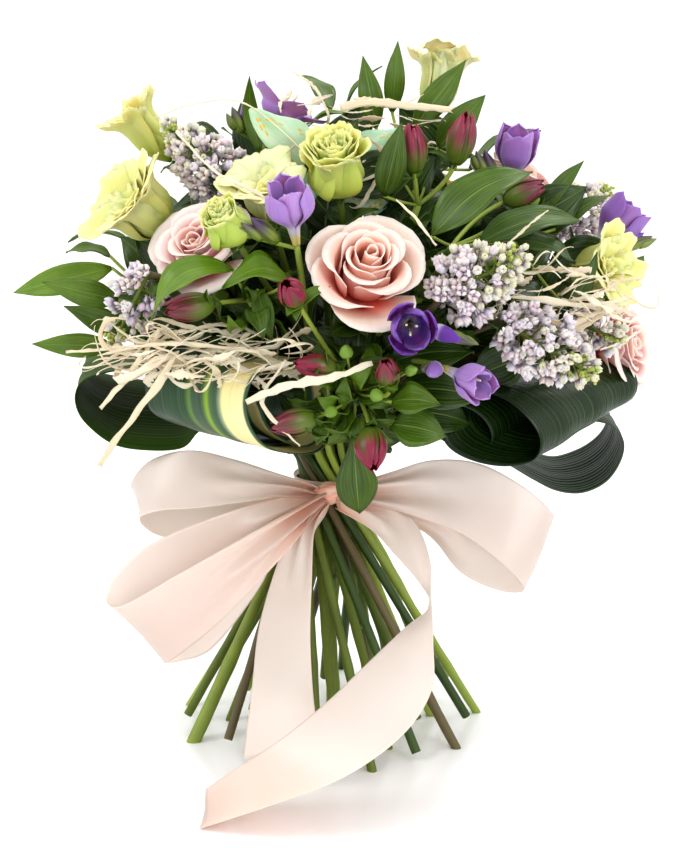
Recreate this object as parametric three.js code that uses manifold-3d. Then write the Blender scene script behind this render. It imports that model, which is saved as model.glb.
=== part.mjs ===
// A mixed, hand-tied flower bouquet that stands on its spiralled stems: roses, lisianthus, freesias,
// lilac, alstroemeria buds, foliage, looped aspidistra leaves, straw, a butterfly pick and a satin bow.
// Millimetres, +Z up. The origin is the cut foot of the upright middle stem; -Y is the front.
import * as THREE from "three";
import { mergeVertices } from "three/addons/utils/BufferGeometryUtils.js";
import { ConvexGeometry } from "three/addons/geometries/ConvexGeometry.js";
import Module from "manifold-3d";

const wasm = await Module();
wasm.setup();

// Driving dimensions
const TIE_HEIGHT = 152;
const STEM_RADIUS = 2.5;
const RING_PITCH = 5.4; // from one ring of stems to the next, where the tie presses them together
const RINGS = [
  { places: 1, lean: 0 },
  { places: 6, lean: 12 },
  { places: 12, lean: 22 },
  { places: 18, lean: 30.5 },
];
const STRAIGHT_ABOVE_TIE = 12;
const CUT_HEIGHTS = [0, 9, 0, 16, 0, 5]; // the stems are cut level or a little short, in turn
const LEAF_THICKNESS = 0.9;
const PETAL_THICKNESS = 0.9;
const RIBBON_THICKNESS = 0.8;
const CLEARANCE = 0.35;
const TIE = new THREE.Vector3(0, 0, TIE_HEIGHT);
const HEAD_CENTRE = new THREE.Vector3(0, 0, 225);

const COLOURS = {
  rose: "#f2b9a6",
  lisianthus: "#e9eb9a",
  freesia: "#9c7ccf",
  lilac: "#c9bccb",
  leaf: "#3f6b25",
  aspidistra: "#1f4527",
  stem: "#557a2c",
  ribbon: "#f6d3c4",
  twine: "#8a7a52",
  straw: "#e6d8b8",
  butterfly: "#b6e3b4",
};

// The photograph's view, which places pieces by the column and row where they are seen
const VIEW = { elevation: 14, distance: 1500, focal: 2500, target: [12, 0, 187], centre: [350, 424] };

const radians = THREE.MathUtils.degToRad;
const vector = (x, y, z) => new THREE.Vector3(x, y, z);

// The place seen at a column and row of the photograph, at a depth y behind the middle of the bouquet
function seen([column, row], depth) {
  const across = (column - VIEW.centre[0]) / VIEW.focal;
  const rise = (VIEW.centre[1] - row) / VIEW.focal;
  const cos = Math.cos(radians(VIEW.elevation));
  const sin = Math.sin(radians(VIEW.elevation));
  const height = (rise * (VIEW.distance + cos * depth) - sin * depth) / (cos + rise * sin);
  const away = VIEW.distance + depth * cos - height * sin;
  return vector(VIEW.target[0] + across * away, depth, VIEW.target[2] + height);
}

// A direction by its azimuth, 0 along +X and -90 to the front, and its elevation, in degrees
function direction([azimuth, elevation]) {
  const level = Math.cos(radians(elevation));
  return vector(
    level * Math.cos(radians(azimuth)),
    level * Math.sin(radians(azimuth)),
    Math.sin(radians(elevation)),
  );
}

// Solids and the slightly larger guards that keep other pieces clear of them

function solidOf(geometry) {
  const bare = geometry.clone();
  bare.deleteAttribute("normal");
  bare.deleteAttribute("uv");
  const merged = mergeVertices(bare, 1e-4);
  const corners = merged.index.array;
  const kept = [];
  for (let i = 0; i < corners.length; i += 3) {
    const [a, b, c] = [corners[i], corners[i + 1], corners[i + 2]];
    if (a !== b && b !== c && a !== c) kept.push(a, b, c);
  }
  return new wasm.Manifold(
    new wasm.Mesh({
      numProp: 3,
      vertProperties: merged.attributes.position.array,
      triVerts: new Uint32Array(kept),
    }),
  );
}

function geometryOf(solid) {
  const { numProp, vertProperties, triVerts } = solid.getMesh();
  const positions = new Float32Array((vertProperties.length / numProp) * 3);
  for (let i = 0; i < positions.length / 3; i += 1) {
    positions.set(vertProperties.subarray(i * numProp, i * numProp + 3), i * 3);
  }
  return new THREE.BufferGeometry()
    .setAttribute("position", new THREE.BufferAttribute(positions, 3))
    .setIndex(new THREE.BufferAttribute(triVerts, 1));
}

const union = (solids) => wasm.Manifold.union(solids);

function boxesMeet(a, b) {
  const [one, two] = [a.boundingBox(), b.boundingBox()];
  return [0, 1, 2].every((axis) => one.min[axis] <= two.max[axis] && two.min[axis] <= one.max[axis]);
}

const OUTLINE_GAPS = 2.5; // how many clearances the outline grows by at its furthest corner

// The convex outline of a solid, grown by the clearance
function outlineOf(solid) {
  const position = geometryOf(solid).getAttribute("position");
  const points = [];
  for (let i = 0; i < position.count; i += 1) {
    points.push(new THREE.Vector3().fromBufferAttribute(position, i));
  }
  const box = new THREE.Box3().setFromPoints(points);
  const middle = box.getCenter(new THREE.Vector3());
  const half = box.getSize(new THREE.Vector3()).length() / 2;
  const grow = 1 + (OUTLINE_GAPS * CLEARANCE) / half;
  return solidOf(new ConvexGeometry(points.map((p) => p.sub(middle).multiplyScalar(grow).add(middle))));
}

const withOutline = (solid) => ({ body: solid, guard: outlineOf(solid) });

// Curves and tubes

// A line through given stations, so that a tube has one section at each of them
class Route extends THREE.Curve {
  constructor(stations) {
    super();
    this.stations = stations;
  }

  getPoint(t) {
    const place = t * (this.stations.length - 1);
    const step = Math.min(Math.floor(place), this.stations.length - 2);
    return this.stations[step].clone().lerp(this.stations[step + 1], place - step);
  }

  getPointAt(t) {
    return this.getPoint(t);
  }

  getTangentAt(t) {
    const last = this.stations.length - 1;
    const at = Math.round(t * last);
    const before = this.stations[Math.max(at - 1, 0)];
    const after = this.stations[Math.min(at + 1, last)];
    return after.clone().sub(before).normalize();
  }
}

function tube(stations, radius, sides) {
  const section = new THREE.Shape();
  for (let i = 0; i < sides; i += 1) {
    const angle = (2 * Math.PI * i) / sides;
    const corner = [radius * Math.cos(angle), radius * Math.sin(angle)];
    if (i === 0) section.moveTo(...corner);
    else section.lineTo(...corner);
  }
  section.closePath();
  return solidOf(
    new THREE.ExtrudeGeometry(section, { steps: stations.length - 1, extrudePath: new Route(stations) }),
  );
}

const guardedTube = (stations, radius, sides) => ({
  body: tube(stations, radius, sides),
  guard: tube(stations, radius + CLEARANCE, sides),
});

// Thin blades: leaves, petals and ribbons

// A thin sheet with sharp edges over a grid of places, split alike on both faces
function sheet(rows, columns, place, thickness) {
  const middle = [];
  for (let i = 0; i <= rows; i += 1) {
    for (let j = 0; j <= columns; j += 1) middle.push(place(i / rows, (2 * j) / columns - 1));
  }
  const at = (i, j) => middle[i * (columns + 1) + j];
  const faces = [[], []];
  for (let i = 0; i <= rows; i += 1) {
    for (let j = 0; j <= columns; j += 1) {
      const along = at(Math.min(i + 1, rows), j).clone().sub(at(Math.max(i - 1, 0), j));
      const across = at(i, Math.min(j + 1, columns)).clone().sub(at(i, Math.max(j - 1, 0)));
      const edge = i === 0 || i === rows || j === 0 || j === columns;
      const lift = across.cross(along).normalize().multiplyScalar(edge ? 0 : thickness / 2);
      faces[0].push(at(i, j).clone().add(lift));
      faces[1].push(at(i, j).clone().sub(lift));
    }
  }
  const corners = [];
  const add = (side, cells) => {
    const ordered = side === 0 ? cells : [cells[0], cells[2], cells[1]];
    ordered.forEach(([i, j]) => corners.push(...faces[side][i * (columns + 1) + j].toArray()));
  };
  for (let i = 0; i < rows; i += 1) {
    for (let j = 0; j < columns; j += 1) {
      for (const side of [0, 1]) {
        add(side, [[i, j], [i, j + 1], [i + 1, j + 1]]);
        add(side, [[i, j], [i + 1, j + 1], [i + 1, j]]);
      }
    }
  }
  const geometry = new THREE.BufferGeometry();
  geometry.setAttribute("position", new THREE.Float32BufferAttribute(corners, 3));
  return solidOf(geometry);
}

// The height of a smooth hump from 0 at both ends to 1 at its peak
const hump = (t, peak) => Math.sin(Math.PI * t ** (Math.log(0.5) / Math.log(peak)));

const STALK_SHARE = 0.25; // of a leaf's rows of faces
const STALK_HALF_WIDTH = 1.1;
const LEAF_FOLD = 0.22; // how far the edges rise above the rib, as a share of half the width
const WIDEST = 0.42; // where along its blade a leaf is widest

// The side that a leaf turns up: away from the middle of the head, and upwards
const upperSide = (base, tip) =>
  base.clone().lerp(tip, 0.5).sub(HEAD_CENTRE).normalize().add(vector(0, 0, 0.6));

// A pointed leaf on its stalk, from a fork through its base to its tip, bowed up and folded along its rib
function leaf({ fork, base, tip, width, bow = 0.12, faceTo = upperSide(base, tip) }, grow = 0) {
  const chord = tip.clone().sub(base);
  const side = chord.clone().cross(faceTo).normalize();
  const lift = side.clone().cross(chord).normalize();
  const length = chord.length();
  const place = (u, v) => {
    const onBlade = Math.max(0, (u - STALK_SHARE) / (1 - STALK_SHARE));
    const rib = u < STALK_SHARE
      ? fork.clone().lerp(base, u / STALK_SHARE)
      : base.clone().lerp(tip, onBlade).addScaledVector(lift, bow * length * Math.sin(Math.PI * onBlade));
    const half = u < STALK_SHARE + 0.01
      ? STALK_HALF_WIDTH
      : STALK_HALF_WIDTH * (1 - onBlade) + (width / 2) * hump(onBlade, WIDEST);
    return rib.addScaledVector(side, v * (half + grow)).addScaledVector(lift, Math.abs(v) * half * LEAF_FOLD);
  };
  return sheet(5, 2, place, LEAF_THICKNESS + 2 * grow);
}

const BLADE_GAP = CLEARANCE + 0.15; // curved blades keep a little more than the clearance
const guardedLeaf = (shape) => ({ body: leaf(shape), guard: leaf(shape, BLADE_GAP) });

// A closed form through rings of equally many corners, with a single corner at either end
function ringed(first, rings, last, flipped = () => false) {
  const corners = [];
  const add = (...points) => points.forEach((point) => corners.push(...point.toArray()));
  const around = rings[0].length;
  for (let j = 0; j < around; j += 1) {
    const next = (j + 1) % around;
    add(first, rings[0][next], rings[0][j]);
    add(last, rings.at(-1)[j], rings.at(-1)[next]);
    for (let i = 0; i < rings.length - 1; i += 1) {
      const [a, b, c, d] = [rings[i][j], rings[i][next], rings[i + 1][next], rings[i + 1][j]];
      if (flipped(i, j)) add(a, b, d, b, c, d);
      else add(a, b, c, a, c, d);
    }
  }
  const geometry = new THREE.BufferGeometry();
  geometry.setAttribute("position", new THREE.Float32BufferAttribute(corners, 3));
  return solidOf(geometry);
}

const atAngle = (reach, degrees, rise) =>
  vector(reach * Math.cos(radians(degrees)), reach * Math.sin(radians(degrees)), rise);

const TUCK = 0.07; // how far a petal's one edge lies inside the next petal, as a share of its reach
const CALM = { share: 0.95, waves: 0.4 }; // low in the cup, where the petals are whole, they wave less
const NOTCH = 0.15; // how much of its sector a petal of two corners leaves open

// A whorl of petals as one lobed cup. Each row is its reach, its rise and how much of its sector a petal
// fills there, out to the rim. One edge of each petal tucks inside the next, and its middle may be waved.
function petalCup(cup) {
  const { count, rows, foot, throat, well = 0, across = [-1, 1], ruffle = 0, inset = 1, turn = 0 } = cup;
  const ring = ([reach, rise, share]) => {
    const points = [];
    for (let k = 0; k < count; k += 1) {
      for (const v of across) {
        const wave = ruffle * (share < CALM.share ? 1 : CALM.waves) * Math.cos(Math.PI * v);
        const out = reach * (k % 2 === 1 ? inset : 1) * (1 + TUCK * v) + wave;
        const angle = turn + (360 * (k + (0.5 - NOTCH / across.length) * v * share)) / count;
        points.push(atAngle(out, angle, rise + wave));
      }
    }
    return points;
  };
  const inside = rows.slice(well, -1).map(([reach, rise, share], i) => {
    const [before, after] = [rows[well + i - 1] ?? [0, foot], rows[well + i + 1]];
    const along = new THREE.Vector2(after[0] - before[0], after[1] - before[1]).setLength(PETAL_THICKNESS);
    return [reach - along.y, rise + along.x, share];
  });
  const rings = [...rows, ...inside.reverse()].map(ring);
  return ringed(vector(0, 0, foot), rings, vector(0, 0, throat), (i) => i >= rows.length - 1);
}

const scaleCup = (cup, wide, tall = wide) => ({
  ...cup,
  rows: cup.rows.map(([reach, rise, share]) => [reach * wide, rise * tall, share]),
  foot: cup.foot * tall,
  throat: cup.throat * tall,
});

// A round form turned from a profile that starts and ends on its axis
function turned(profile, sides) {
  const points = profile.map(([r, z]) => new THREE.Vector2(r, z));
  return solidOf(new THREE.LatheGeometry(points, sides).rotateX(Math.PI / 2));
}

// Moves a solid made along +Z so that it stands at a place and faces a direction
function stand(solid, at, facing, spin = 0) {
  const z = facing.clone().normalize();
  const x = Math.abs(z.z) > 0.98 ? vector(1, 0, 0) : vector(0, 0, 1).cross(z).normalize();
  const y = z.clone().cross(x).normalize();
  x.crossVectors(y, z);
  const matrix = new THREE.Matrix4().makeBasis(x, y, z).setPosition(at);
  matrix.multiply(new THREE.Matrix4().makeRotationZ(spin));
  return solid.transform(matrix.elements);
}

// Flowers

const ROSE_WIDTH = 64; // the width and height that the rows below are written for
const ROSE_HEIGHT = 30;
const ROSE_CUPS = [
  { count: 5, rows: [[22, 4, 1], [30, 14, 0.96], [32, 24, 0.5]], foot: 0.6, throat: 1.8, turn: 0 },
  { count: 4, rows: [[15, 7, 1], [22, 17, 0.96], [24, 28, 0.5]], foot: 2.6, throat: 3.8, turn: 40 },
  { count: 3, rows: [[13, 17, 1], [14, 31, 0.5]], foot: 5, throat: 6.2, turn: 75 },
];
const ROSE_HEART = [[0, 0.4], [5.5, 0.6], [6.5, 20], [0, 31]];

const roseHeight = ({ width }) => (ROSE_HEIGHT * width) / ROSE_WIDTH;

function roseHead(width) {
  const scale = width / ROSE_WIDTH;
  const cups = ROSE_CUPS.map((cup) => petalCup(scaleCup(cup, scale)));
  return union([...cups, turned(ROSE_HEART.map(([r, z]) => [r * scale, z * scale]), 5)]);
}

const LISIANTHUS_WIDTH = 50;
const LISIANTHUS_HEIGHT = 42;
const LISIANTHUS_CUPS = [
  {
    count: 5,
    rows: [[16, 9, 1], [21, 26, 0.94], [25, 41, 0.8]],
    foot: 0.6,
    throat: 1.8,
    across: [-1, 0, 1],
    ruffle: -1.5,
  },
  { count: 3, rows: [[11, 16, 1], [14, 38, 0.8]], foot: 4, throat: 5.2, turn: 30 },
];
const LISIANTHUS_HEART = [[0, 0.4], [3.6, 0.6], [4.5, 18], [0, 33]];

function lisianthusHead(width, height) {
  const wide = width / LISIANTHUS_WIDTH;
  const tall = height / LISIANTHUS_HEIGHT;
  const cups = LISIANTHUS_CUPS.map((cup) => petalCup(scaleCup(cup, wide, tall)));
  return union([...cups, turned(LISIANTHUS_HEART.map(([r, z]) => [r * wide, z * tall]), 5)]);
}

const FREESIA_LENGTH = 44;
const FREESIA_CUP = {
  count: 6,
  rows: [[1.9, 0, 1], [3, 13, 1], [11.5, 29, 0.96], [13.5, 42, 0.4]],
  foot: -2,
  throat: 17,
  well: 2,
  inset: 0.78,
};

const freesiaHead = (open) => petalCup(scaleCup(FREESIA_CUP, open, 1));

const bud = (radius, length, sides = 5) =>
  turned([[0, -2], [radius, length * 0.4], [radius * 0.7, length * 0.8], [0, length]], sides);

// A tapering panicle whose surface rises into a pointed floret at every second corner of its grid
const FLORET_COLUMNS = 10;
const FLORET_ROWS = 9;
const FLORET_DEPTH = 0.42; // how far its florets stand out, as a share of the panicle's radius

function panicle({ base, tip, width }) {
  const length = tip.distanceTo(base);
  const raised = (i, j) => (i + j) % 2 === 0;
  const rings = Array.from({ length: FLORET_ROWS }, (_, i) =>
    Array.from({ length: FLORET_COLUMNS }, (_unused, j) => {
      const t = (i + 0.5) / FLORET_ROWS;
      const out = (width / 2) * (0.3 + 0.7 * hump(t, 0.36)) * (raised(i, j) ? 1 : 1 - FLORET_DEPTH);
      return atAngle(out, (360 * j) / FLORET_COLUMNS, length * t + (raised(i, j) ? 2.5 : 0));
    }));
  const spike = ringed(vector(0, 0, -3), rings, vector(0, 0, length + 2), raised);
  return stand(spike, base, tip.clone().sub(base));
}

// What the bouquet holds: each entry says where it is seen and how deep it lies

const ROSES = [
  { name: "rose_front", at: seen([363, 276], -110), facing: [-84, 48], width: 64 },
  { name: "rose_left", at: seen([204, 247], -68), facing: [-148, 42], width: 58 },
  { name: "rose_right", at: seen([617, 350], 8), facing: [-8, 2], width: 60 },
  { name: "rose_top", at: seen([512, 190], 66), facing: [42, 48], width: 56 },
  { name: "rose_rear", at: vector(-22, 118, 276), facing: [100, 25], width: 62 },
  { name: "rose_rear_left", at: vector(-104, 84, 262), facing: [146, 20], width: 58 },
];

const LISIANTHUS = [
  { name: "lisianthus_left", stem: 0, at: seen([146, 212], -24), facing: [-158, 38], width: 56, height: 42 },
  {
    name: "lisianthus_high_left", stem: 0, at: seen([150, 135], 22),
    facing: [176, 52], width: 38, height: 44,
  },
  {
    name: "lisianthus_middle", stem: 1, at: seen([268, 200], -52),
    facing: [-112, 62], width: 46, height: 34,
  },
  {
    name: "lisianthus_small", stem: 1, at: seen([226, 224], -108),
    facing: [-128, 50], width: 26, height: 28,
  },
  { name: "lisianthus_green", stem: 2, at: seen([336, 167], -62), facing: [-100, 58], width: 38, height: 42 },
  { name: "lisianthus_top", stem: 2, at: seen([438, 88], 62), facing: [60, 72], width: 42, height: 44 },
  { name: "lisianthus_right", stem: 3, at: seen([592, 272], -32), facing: [-38, 20], width: 46, height: 40 },
  { name: "lisianthus_rear", stem: 4, at: vector(62, 112, 290), facing: [64, 36], width: 50, height: 42 },
];

const LISIANTHUS_STEMS = 5; // some carry two flowers

// A freesia spike: an open flower and then its buds, smaller towards the end of the spike
const FREESIAS = [
  {
    name: "freesia_front", at: seen([291, 213], -112),
    facing: [-104, 60],
    open: 0.95,
    spikeTo: seen([250, 236], -112),
  },
  {
    name: "freesia_high", at: seen([284, 108], 28),
    facing: [20, 58],
    open: 1.2,
    spikeTo: seen([234, 128], 12),
  },
  {
    name: "freesia_deep", at: seen([410, 326], -142),
    facing: [-88, 4],
    open: 0.95,
    spikeTo: seen([462, 338], -118),
  },
  {
    name: "freesia_low", at: seen([470, 380], -132),
    facing: [-50, -8],
    open: 0.85,
    spikeTo: seen([430, 366], -118),
  },
  {
    name: "freesia_upright", at: seen([514, 160], -14),
    facing: [-60, 76],
    open: 0.85,
    spikeTo: seen([478, 168], -20),
  },
  {
    name: "freesia_right", at: seen([612, 228], 8),
    facing: [4, 46],
    open: 0.95,
    spikeTo: seen([640, 246], 2),
  },
];

const LILACS = [
  { name: "lilac_high_left", base: seen([246, 200], -18), tip: seen([168, 128], -14), width: 40 },
  { name: "lilac_left", base: seen([148, 274], -86), tip: seen([114, 342], -92), width: 30 },
  { name: "lilac_middle", base: seen([440, 300], -106), tip: seen([518, 256], -118), width: 44 },
  { name: "lilac_right", base: seen([500, 322], -92), tip: seen([592, 374], -112), width: 42 },
  { name: "lilac_low", base: seen([574, 322], -48), tip: seen([620, 340], -66), width: 32 },
  { name: "lilac_back", base: seen([556, 232], 58), tip: seen([606, 190], 72), width: 34 },
  { name: "lilac_rear", base: vector(40, 84, 300), tip: vector(56, 120, 352), width: 42 },
];

// Leafy sprays: a stem to its fork, and from there the leaves and buds on their stalks
const seenLeaf = (base, baseDepth, tip, tipDepth, width, more = {}) =>
  ({ base: seen(base, baseDepth), tip: seen(tip, tipDepth), width, ...more });

const SPRAYS = [
  {
    name: "alstroemeria_left",
    fork: seen([250, 300], -82),
    buds: [{ at: seen([210, 304], -108), facing: [-160, -4], radius: 8.5, length: 27 }],
    leaves: [
      seenLeaf([232, 268], -112, [150, 318], -124, 22, { bow: 0.28 }),
      seenLeaf([290, 282], -112, [222, 288], -126, 22, { bow: 0.3 }),
      seenLeaf([258, 290], -98, [272, 340], -106, 11),
    ],
  },
  {
    name: "alstroemeria_top",
    fork: seen([418, 205], -46),
    buds: [
      { at: seen([414, 168], -56), facing: [-110, 78], radius: 9, length: 28 },
      { at: seen([456, 160], -46), facing: [-40, 74], radius: 9, length: 30 },
    ],
    leaves: [
      seenLeaf([384, 196], -62, [402, 122], -66, 16),
      seenLeaf([414, 128], -14, [466, 60], -6, 15),
      seenLeaf([438, 148], -24, [485, 95], -24, 17),
      seenLeaf([392, 112], 18, [398, 41], 22, 11),
      seenLeaf([376, 128], 0, [363, 56], 4, 13),
    ],
  },
  {
    name: "alstroemeria_right",
    fork: seen([452, 246], -74),
    buds: [{ at: seen([508, 200], -42), facing: [-10, 24], radius: 8, length: 24 }],
    leaves: [
      seenLeaf([432, 236], -90, [532, 170], -72, 27, { bow: 0.16 }),
      seenLeaf([478, 244], -74, [582, 218], -48, 21),
      seenLeaf([540, 214], -34, [584, 160], -22, 9),
      seenLeaf([560, 228], -36, [610, 194], -26, 9),
    ],
  },
  {
    name: "alstroemeria_low",
    fork: seen([356, 392], -98),
    buds: [
      { at: seen([296, 300], -132), facing: [-110, 40], radius: 8, length: 20 },
      { at: seen([332, 368], -122), facing: [-170, 8], radius: 7.5, length: 22 },
      { at: seen([370, 432], -120), facing: [-84, -48], radius: 9.5, length: 25 },
      { at: seen([312, 418], -118), facing: [-160, -8], radius: 8, length: 25 },
      { at: seen([388, 376], -128), facing: [-80, -10], radius: 7, length: 17 },
    ],
    leaves: [
      seenLeaf([352, 436], -104, [366, 514], -92, 22, { bow: 0.06, faceTo: vector(0, -1, 0.1) }),
      seenLeaf([392, 424], -116, [446, 436], -120, 24, { bow: 0.1, faceTo: vector(-0.1, -0.8, 0.6) }),
      seenLeaf([392, 402], -122, [440, 404], -128, 18, { bow: 0.2 }),
    ],
  },
  {
    name: "foliage_left",
    fork: seen([160, 300], -24),
    leaves: [
      seenLeaf([112, 268], -36, [12, 293], -28, 16, { bow: 0.14 }),
      seenLeaf([118, 300], -58, [42, 282], -66, 15),
      seenLeaf([132, 332], -40, [64, 306], -46, 14),
      seenLeaf([112, 346], -30, [32, 344], -36, 13),
      seenLeaf([110, 256], -12, [66, 252], -10, 14),
      seenLeaf([128, 240], 16, [68, 240], 20, 12),
    ],
  },
  {
    name: "foliage_top",
    fork: seen([322, 150], 30),
    leaves: [
      seenLeaf([260, 152], 8, [249, 76], 4, 9),
      seenLeaf([344, 116], 22, [382, 66], 28, 9),
      seenLeaf([300, 134], 34, [352, 112], 44, 15),
      seenLeaf([470, 170], 72, [540, 128], 96, 16),
      seenLeaf([330, 110], 60, [300, 74], 92, 16),
    ],
  },
  {
    name: "foliage_right",
    fork: seen([530, 264], -30),
    leaves: [
      seenLeaf([514, 240], -70, [576, 262], -66, 22, { bow: 0.1 }),
      seenLeaf([566, 306], -66, [597, 252], -64, 11),
      seenLeaf([604, 300], 10, [644, 256], 42, 14),
    ],
  },
  {
    name: "foliage_rear",
    fork: vector(-34, 70, 262),
    leaves: [
      { base: vector(-60, 88, 272), tip: vector(-100, 128, 300), width: 20 },
      { base: vector(-6, 96, 250), tip: vector(8, 152, 246), width: 20 },
      { base: vector(-44, 84, 300), tip: vector(-66, 116, 352), width: 19 },
      { base: vector(-84, 60, 296), tip: vector(-140, 84, 318), width: 18 },
      { base: vector(-60, 90, 246), tip: vector(-84, 146, 238), width: 19 },
      { base: vector(6, 92, 290), tip: vector(34, 134, 318), width: 17 },
    ],
  },
];

const LOOP_START = 180; // the height at which the looped leaves' blades begin

// Broad leaves that go out from the tie and fold back on themselves in a loop
const ASPIDISTRAS = [
  {
    name: "aspidistra_variegated",
    azimuth: -123,
    inner: 44,
    outer: 118,
    low: 195,
    high: 239,
    width: 82,
    sideways: -6,
    tilt: 0,
  },
  {
    name: "aspidistra_left",
    azimuth: 173,
    inner: 44,
    outer: 148,
    low: 199,
    high: 223,
    width: 80,
    sideways: 0,
    tilt: -0.28,
  },
  {
    name: "aspidistra_right",
    azimuth: -45,
    inner: 50,
    outer: 135,
    low: 182,
    high: 217,
    width: 88,
    sideways: 70,
    tilt: 0.1,
  },
  {
    name: "aspidistra_right_back",
    azimuth: 8,
    inner: 60,
    outer: 172,
    low: 157,
    high: 190,
    width: 58,
    sideways: 4,
    tilt: 0.25,
  },
  {
    name: "aspidistra_rear",
    azimuth: 88,
    inner: 44,
    outer: 128,
    low: 182,
    high: 228,
    width: 92,
    sideways: 0,
    tilt: 0,
  },
];

// Stems: sorted by how far they lean, the upright ones take the inner places at the tie

// Where a flower meets its stem, half its height behind its middle
const neckOf = (flower, height) => flower.at.clone().addScaledVector(direction(flower.facing), -height / 2);

function stemEnds() {
  const ends = [];
  ROSES.forEach((rose) => {
    ends.push({ name: rose.name, to: neckOf(rose, roseHeight(rose)), heading: direction(rose.facing) });
  });
  for (let stem = 0; stem < LISIANTHUS_STEMS; stem += 1) {
    const heads = LISIANTHUS.filter((flower) => flower.stem === stem);
    const [first] = heads;
    ends.push({
      name: `lisianthus_stem_${stem + 1}`,
      to: neckOf(first, first.height),
      heading: direction(first.facing),
      others: heads.slice(1),
    });
  }
  FREESIAS.forEach((flower) => {
    ends.push({ name: flower.name, to: neckOf(flower, FREESIA_LENGTH), heading: direction(flower.facing) });
  });
  LILACS.forEach(({ name, base, tip }) => {
    const straight = base.clone().sub(TIE).normalize();
    ends.push({ name, to: base, heading: tip.clone().sub(base).normalize().addScaledVector(straight, 2) });
  });
  SPRAYS.forEach(({ name, fork }) => {
    ends.push({ name, to: fork, heading: fork.clone().sub(HEAD_CENTRE).normalize().add(vector(0, 0, 0.5)) });
  });
  ASPIDISTRAS.forEach(({ name, azimuth, inner }) => {
    const out = direction([azimuth, 0]);
    ends.push({ name, to: out.clone().multiplyScalar(inner).setZ(LOOP_START), heading: out });
  });
  return ends;
}

const leanOf = ({ to }) => Math.atan2(Math.hypot(to.x, to.y), to.z - TIE_HEIGHT);
const azimuthOf = ({ to }) => Math.atan2(to.y, to.x);
const SPIRAL_TURN = radians(62); // from a stem's place at the tie round to its flower

// Gives each ring's stems their places in the order of their azimuths, turned so that they suit best
function placeRing(stems, radius, lean) {
  const sorted = [...stems].sort((a, b) => azimuthOf(a) - azimuthOf(b));
  const step = (2 * Math.PI) / sorted.length;
  let [x, y] = [0, 0];
  sorted.forEach((stem, i) => {
    const wanted = azimuthOf(stem) + SPIRAL_TURN - i * step;
    x += Math.cos(wanted);
    y += Math.sin(wanted);
  });
  const start = Math.atan2(y, x);
  sorted.forEach((stem, i) => {
    const angle = start + i * step;
    stem.atTie = vector(radius * Math.cos(angle), radius * Math.sin(angle), TIE_HEIGHT);
    const slope = Math.tan(radians(lean));
    stem.rise = vector(Math.sin(angle) * slope, -Math.cos(angle) * slope, 1); // per millimetre of height
    stem.cut = lean === 0 ? 0 : CUT_HEIGHTS[i % CUT_HEIGHTS.length];
  });
}

function placeStems(stems) {
  const upright = [...stems].sort((a, b) => leanOf(a) - leanOf(b));
  let first = 0;
  RINGS.forEach(({ places, lean }, ring) => {
    placeRing(upright.slice(first, first + places), ring * RING_PITCH, lean);
    first += places;
  });
  return stems;
}

const BELOW_FLOOR = 6;

// Straight from its foot through the tie, and then a bend to its flower
function stemRoute({ atTie, rise, cut, to, heading }) {
  const onLine = (height) => atTie.clone().addScaledVector(rise, height - TIE_HEIGHT);
  const bendsAt = onLine(TIE_HEIGHT + STRAIGHT_ABOVE_TIE);
  const reach = bendsAt.distanceTo(to);
  const bend = new THREE.CubicBezierCurve3(
    bendsAt,
    bendsAt.clone().addScaledVector(rise.clone().normalize(), reach * 0.4),
    to.clone().addScaledVector(heading.clone().normalize(), -reach * 0.34),
    to,
  );
  const foot = cut === 0 ? onLine(-BELOW_FLOOR) : onLine(cut);
  return [foot, ...bend.getPoints(4)];
}

const floorBlock = solidOf(new THREE.BoxGeometry(600, 600, 100).translate(0, 0, -50));

function stemTube(stem, radius = STEM_RADIUS, sides = 5) {
  const stations = stemRoute(stem);
  const { body, guard } = guardedTube(stations, radius, sides);
  return { body: body.subtract(floorBlock), guard };
}

const stems = new Map(placeStems(stemEnds()).map((stem) => [stem.name, stem]));

// Assembly: frames are stems and stalks, which nothing may cut; soft parts give way to them

const plants = [];
const addPlant = (name, colour, frame, soft = []) => plants.push({ name, colour, frame, soft });

// The green calyx under a flower, drawn out into a star of five sepals
const CALYX_TOP = 1.2;
const HEAD_SEAT = CALYX_TOP - 0.1;
const ROSE_SEPAL = 14;
const LISIANTHUS_SEPAL = 9;
const SEPAL_RISE = 1.4;
const HIP = { reach: 2.9, waist: 3.6, low: -4, foot: -5 };

function calyx(flower, neck, sepalReach) {
  const corners = [...Array(10).keys()];
  const star = corners.map((k) => {
    const sepal = k % 2 === 0;
    return atAngle(sepal ? sepalReach : HIP.waist, 36 * k, sepal ? SEPAL_RISE : 0);
  });
  const hip = corners.map((k) => atAngle(HIP.reach, 36 * k, HIP.low));
  const solid = ringed(vector(0, 0, HIP.foot), [hip, star], vector(0, 0, CALYX_TOP));
  return withOutline(stand(solid, neck, direction(flower.facing)));
}

ROSES.forEach((rose, i) => {
  const stem = stems.get(rose.name);
  addPlant(`${rose.name}_stem`, COLOURS.stem, [stemTube(stem)], [calyx(rose, stem.to, ROSE_SEPAL)]);
  const facing = direction(rose.facing);
  const base = stem.to.clone().addScaledVector(facing, HEAD_SEAT);
  addPlant(rose.name, COLOURS.rose, [], [withOutline(stand(roseHead(rose.width), base, facing, i * 1.3))]);
});

function lisianthusBranch(stem, flower) {
  const route = stemRoute(stem);
  const leaves = route[3];
  const neck = neckOf(flower, flower.height);
  const heading = direction(flower.facing);
  const reach = leaves.distanceTo(neck);
  const under = neck.clone().addScaledVector(heading, -reach * 0.4);
  const bend = new THREE.QuadraticBezierCurve3(leaves, under, neck);
  return guardedTube(bend.getPoints(3), STEM_RADIUS * 0.7, 5);
}

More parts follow.
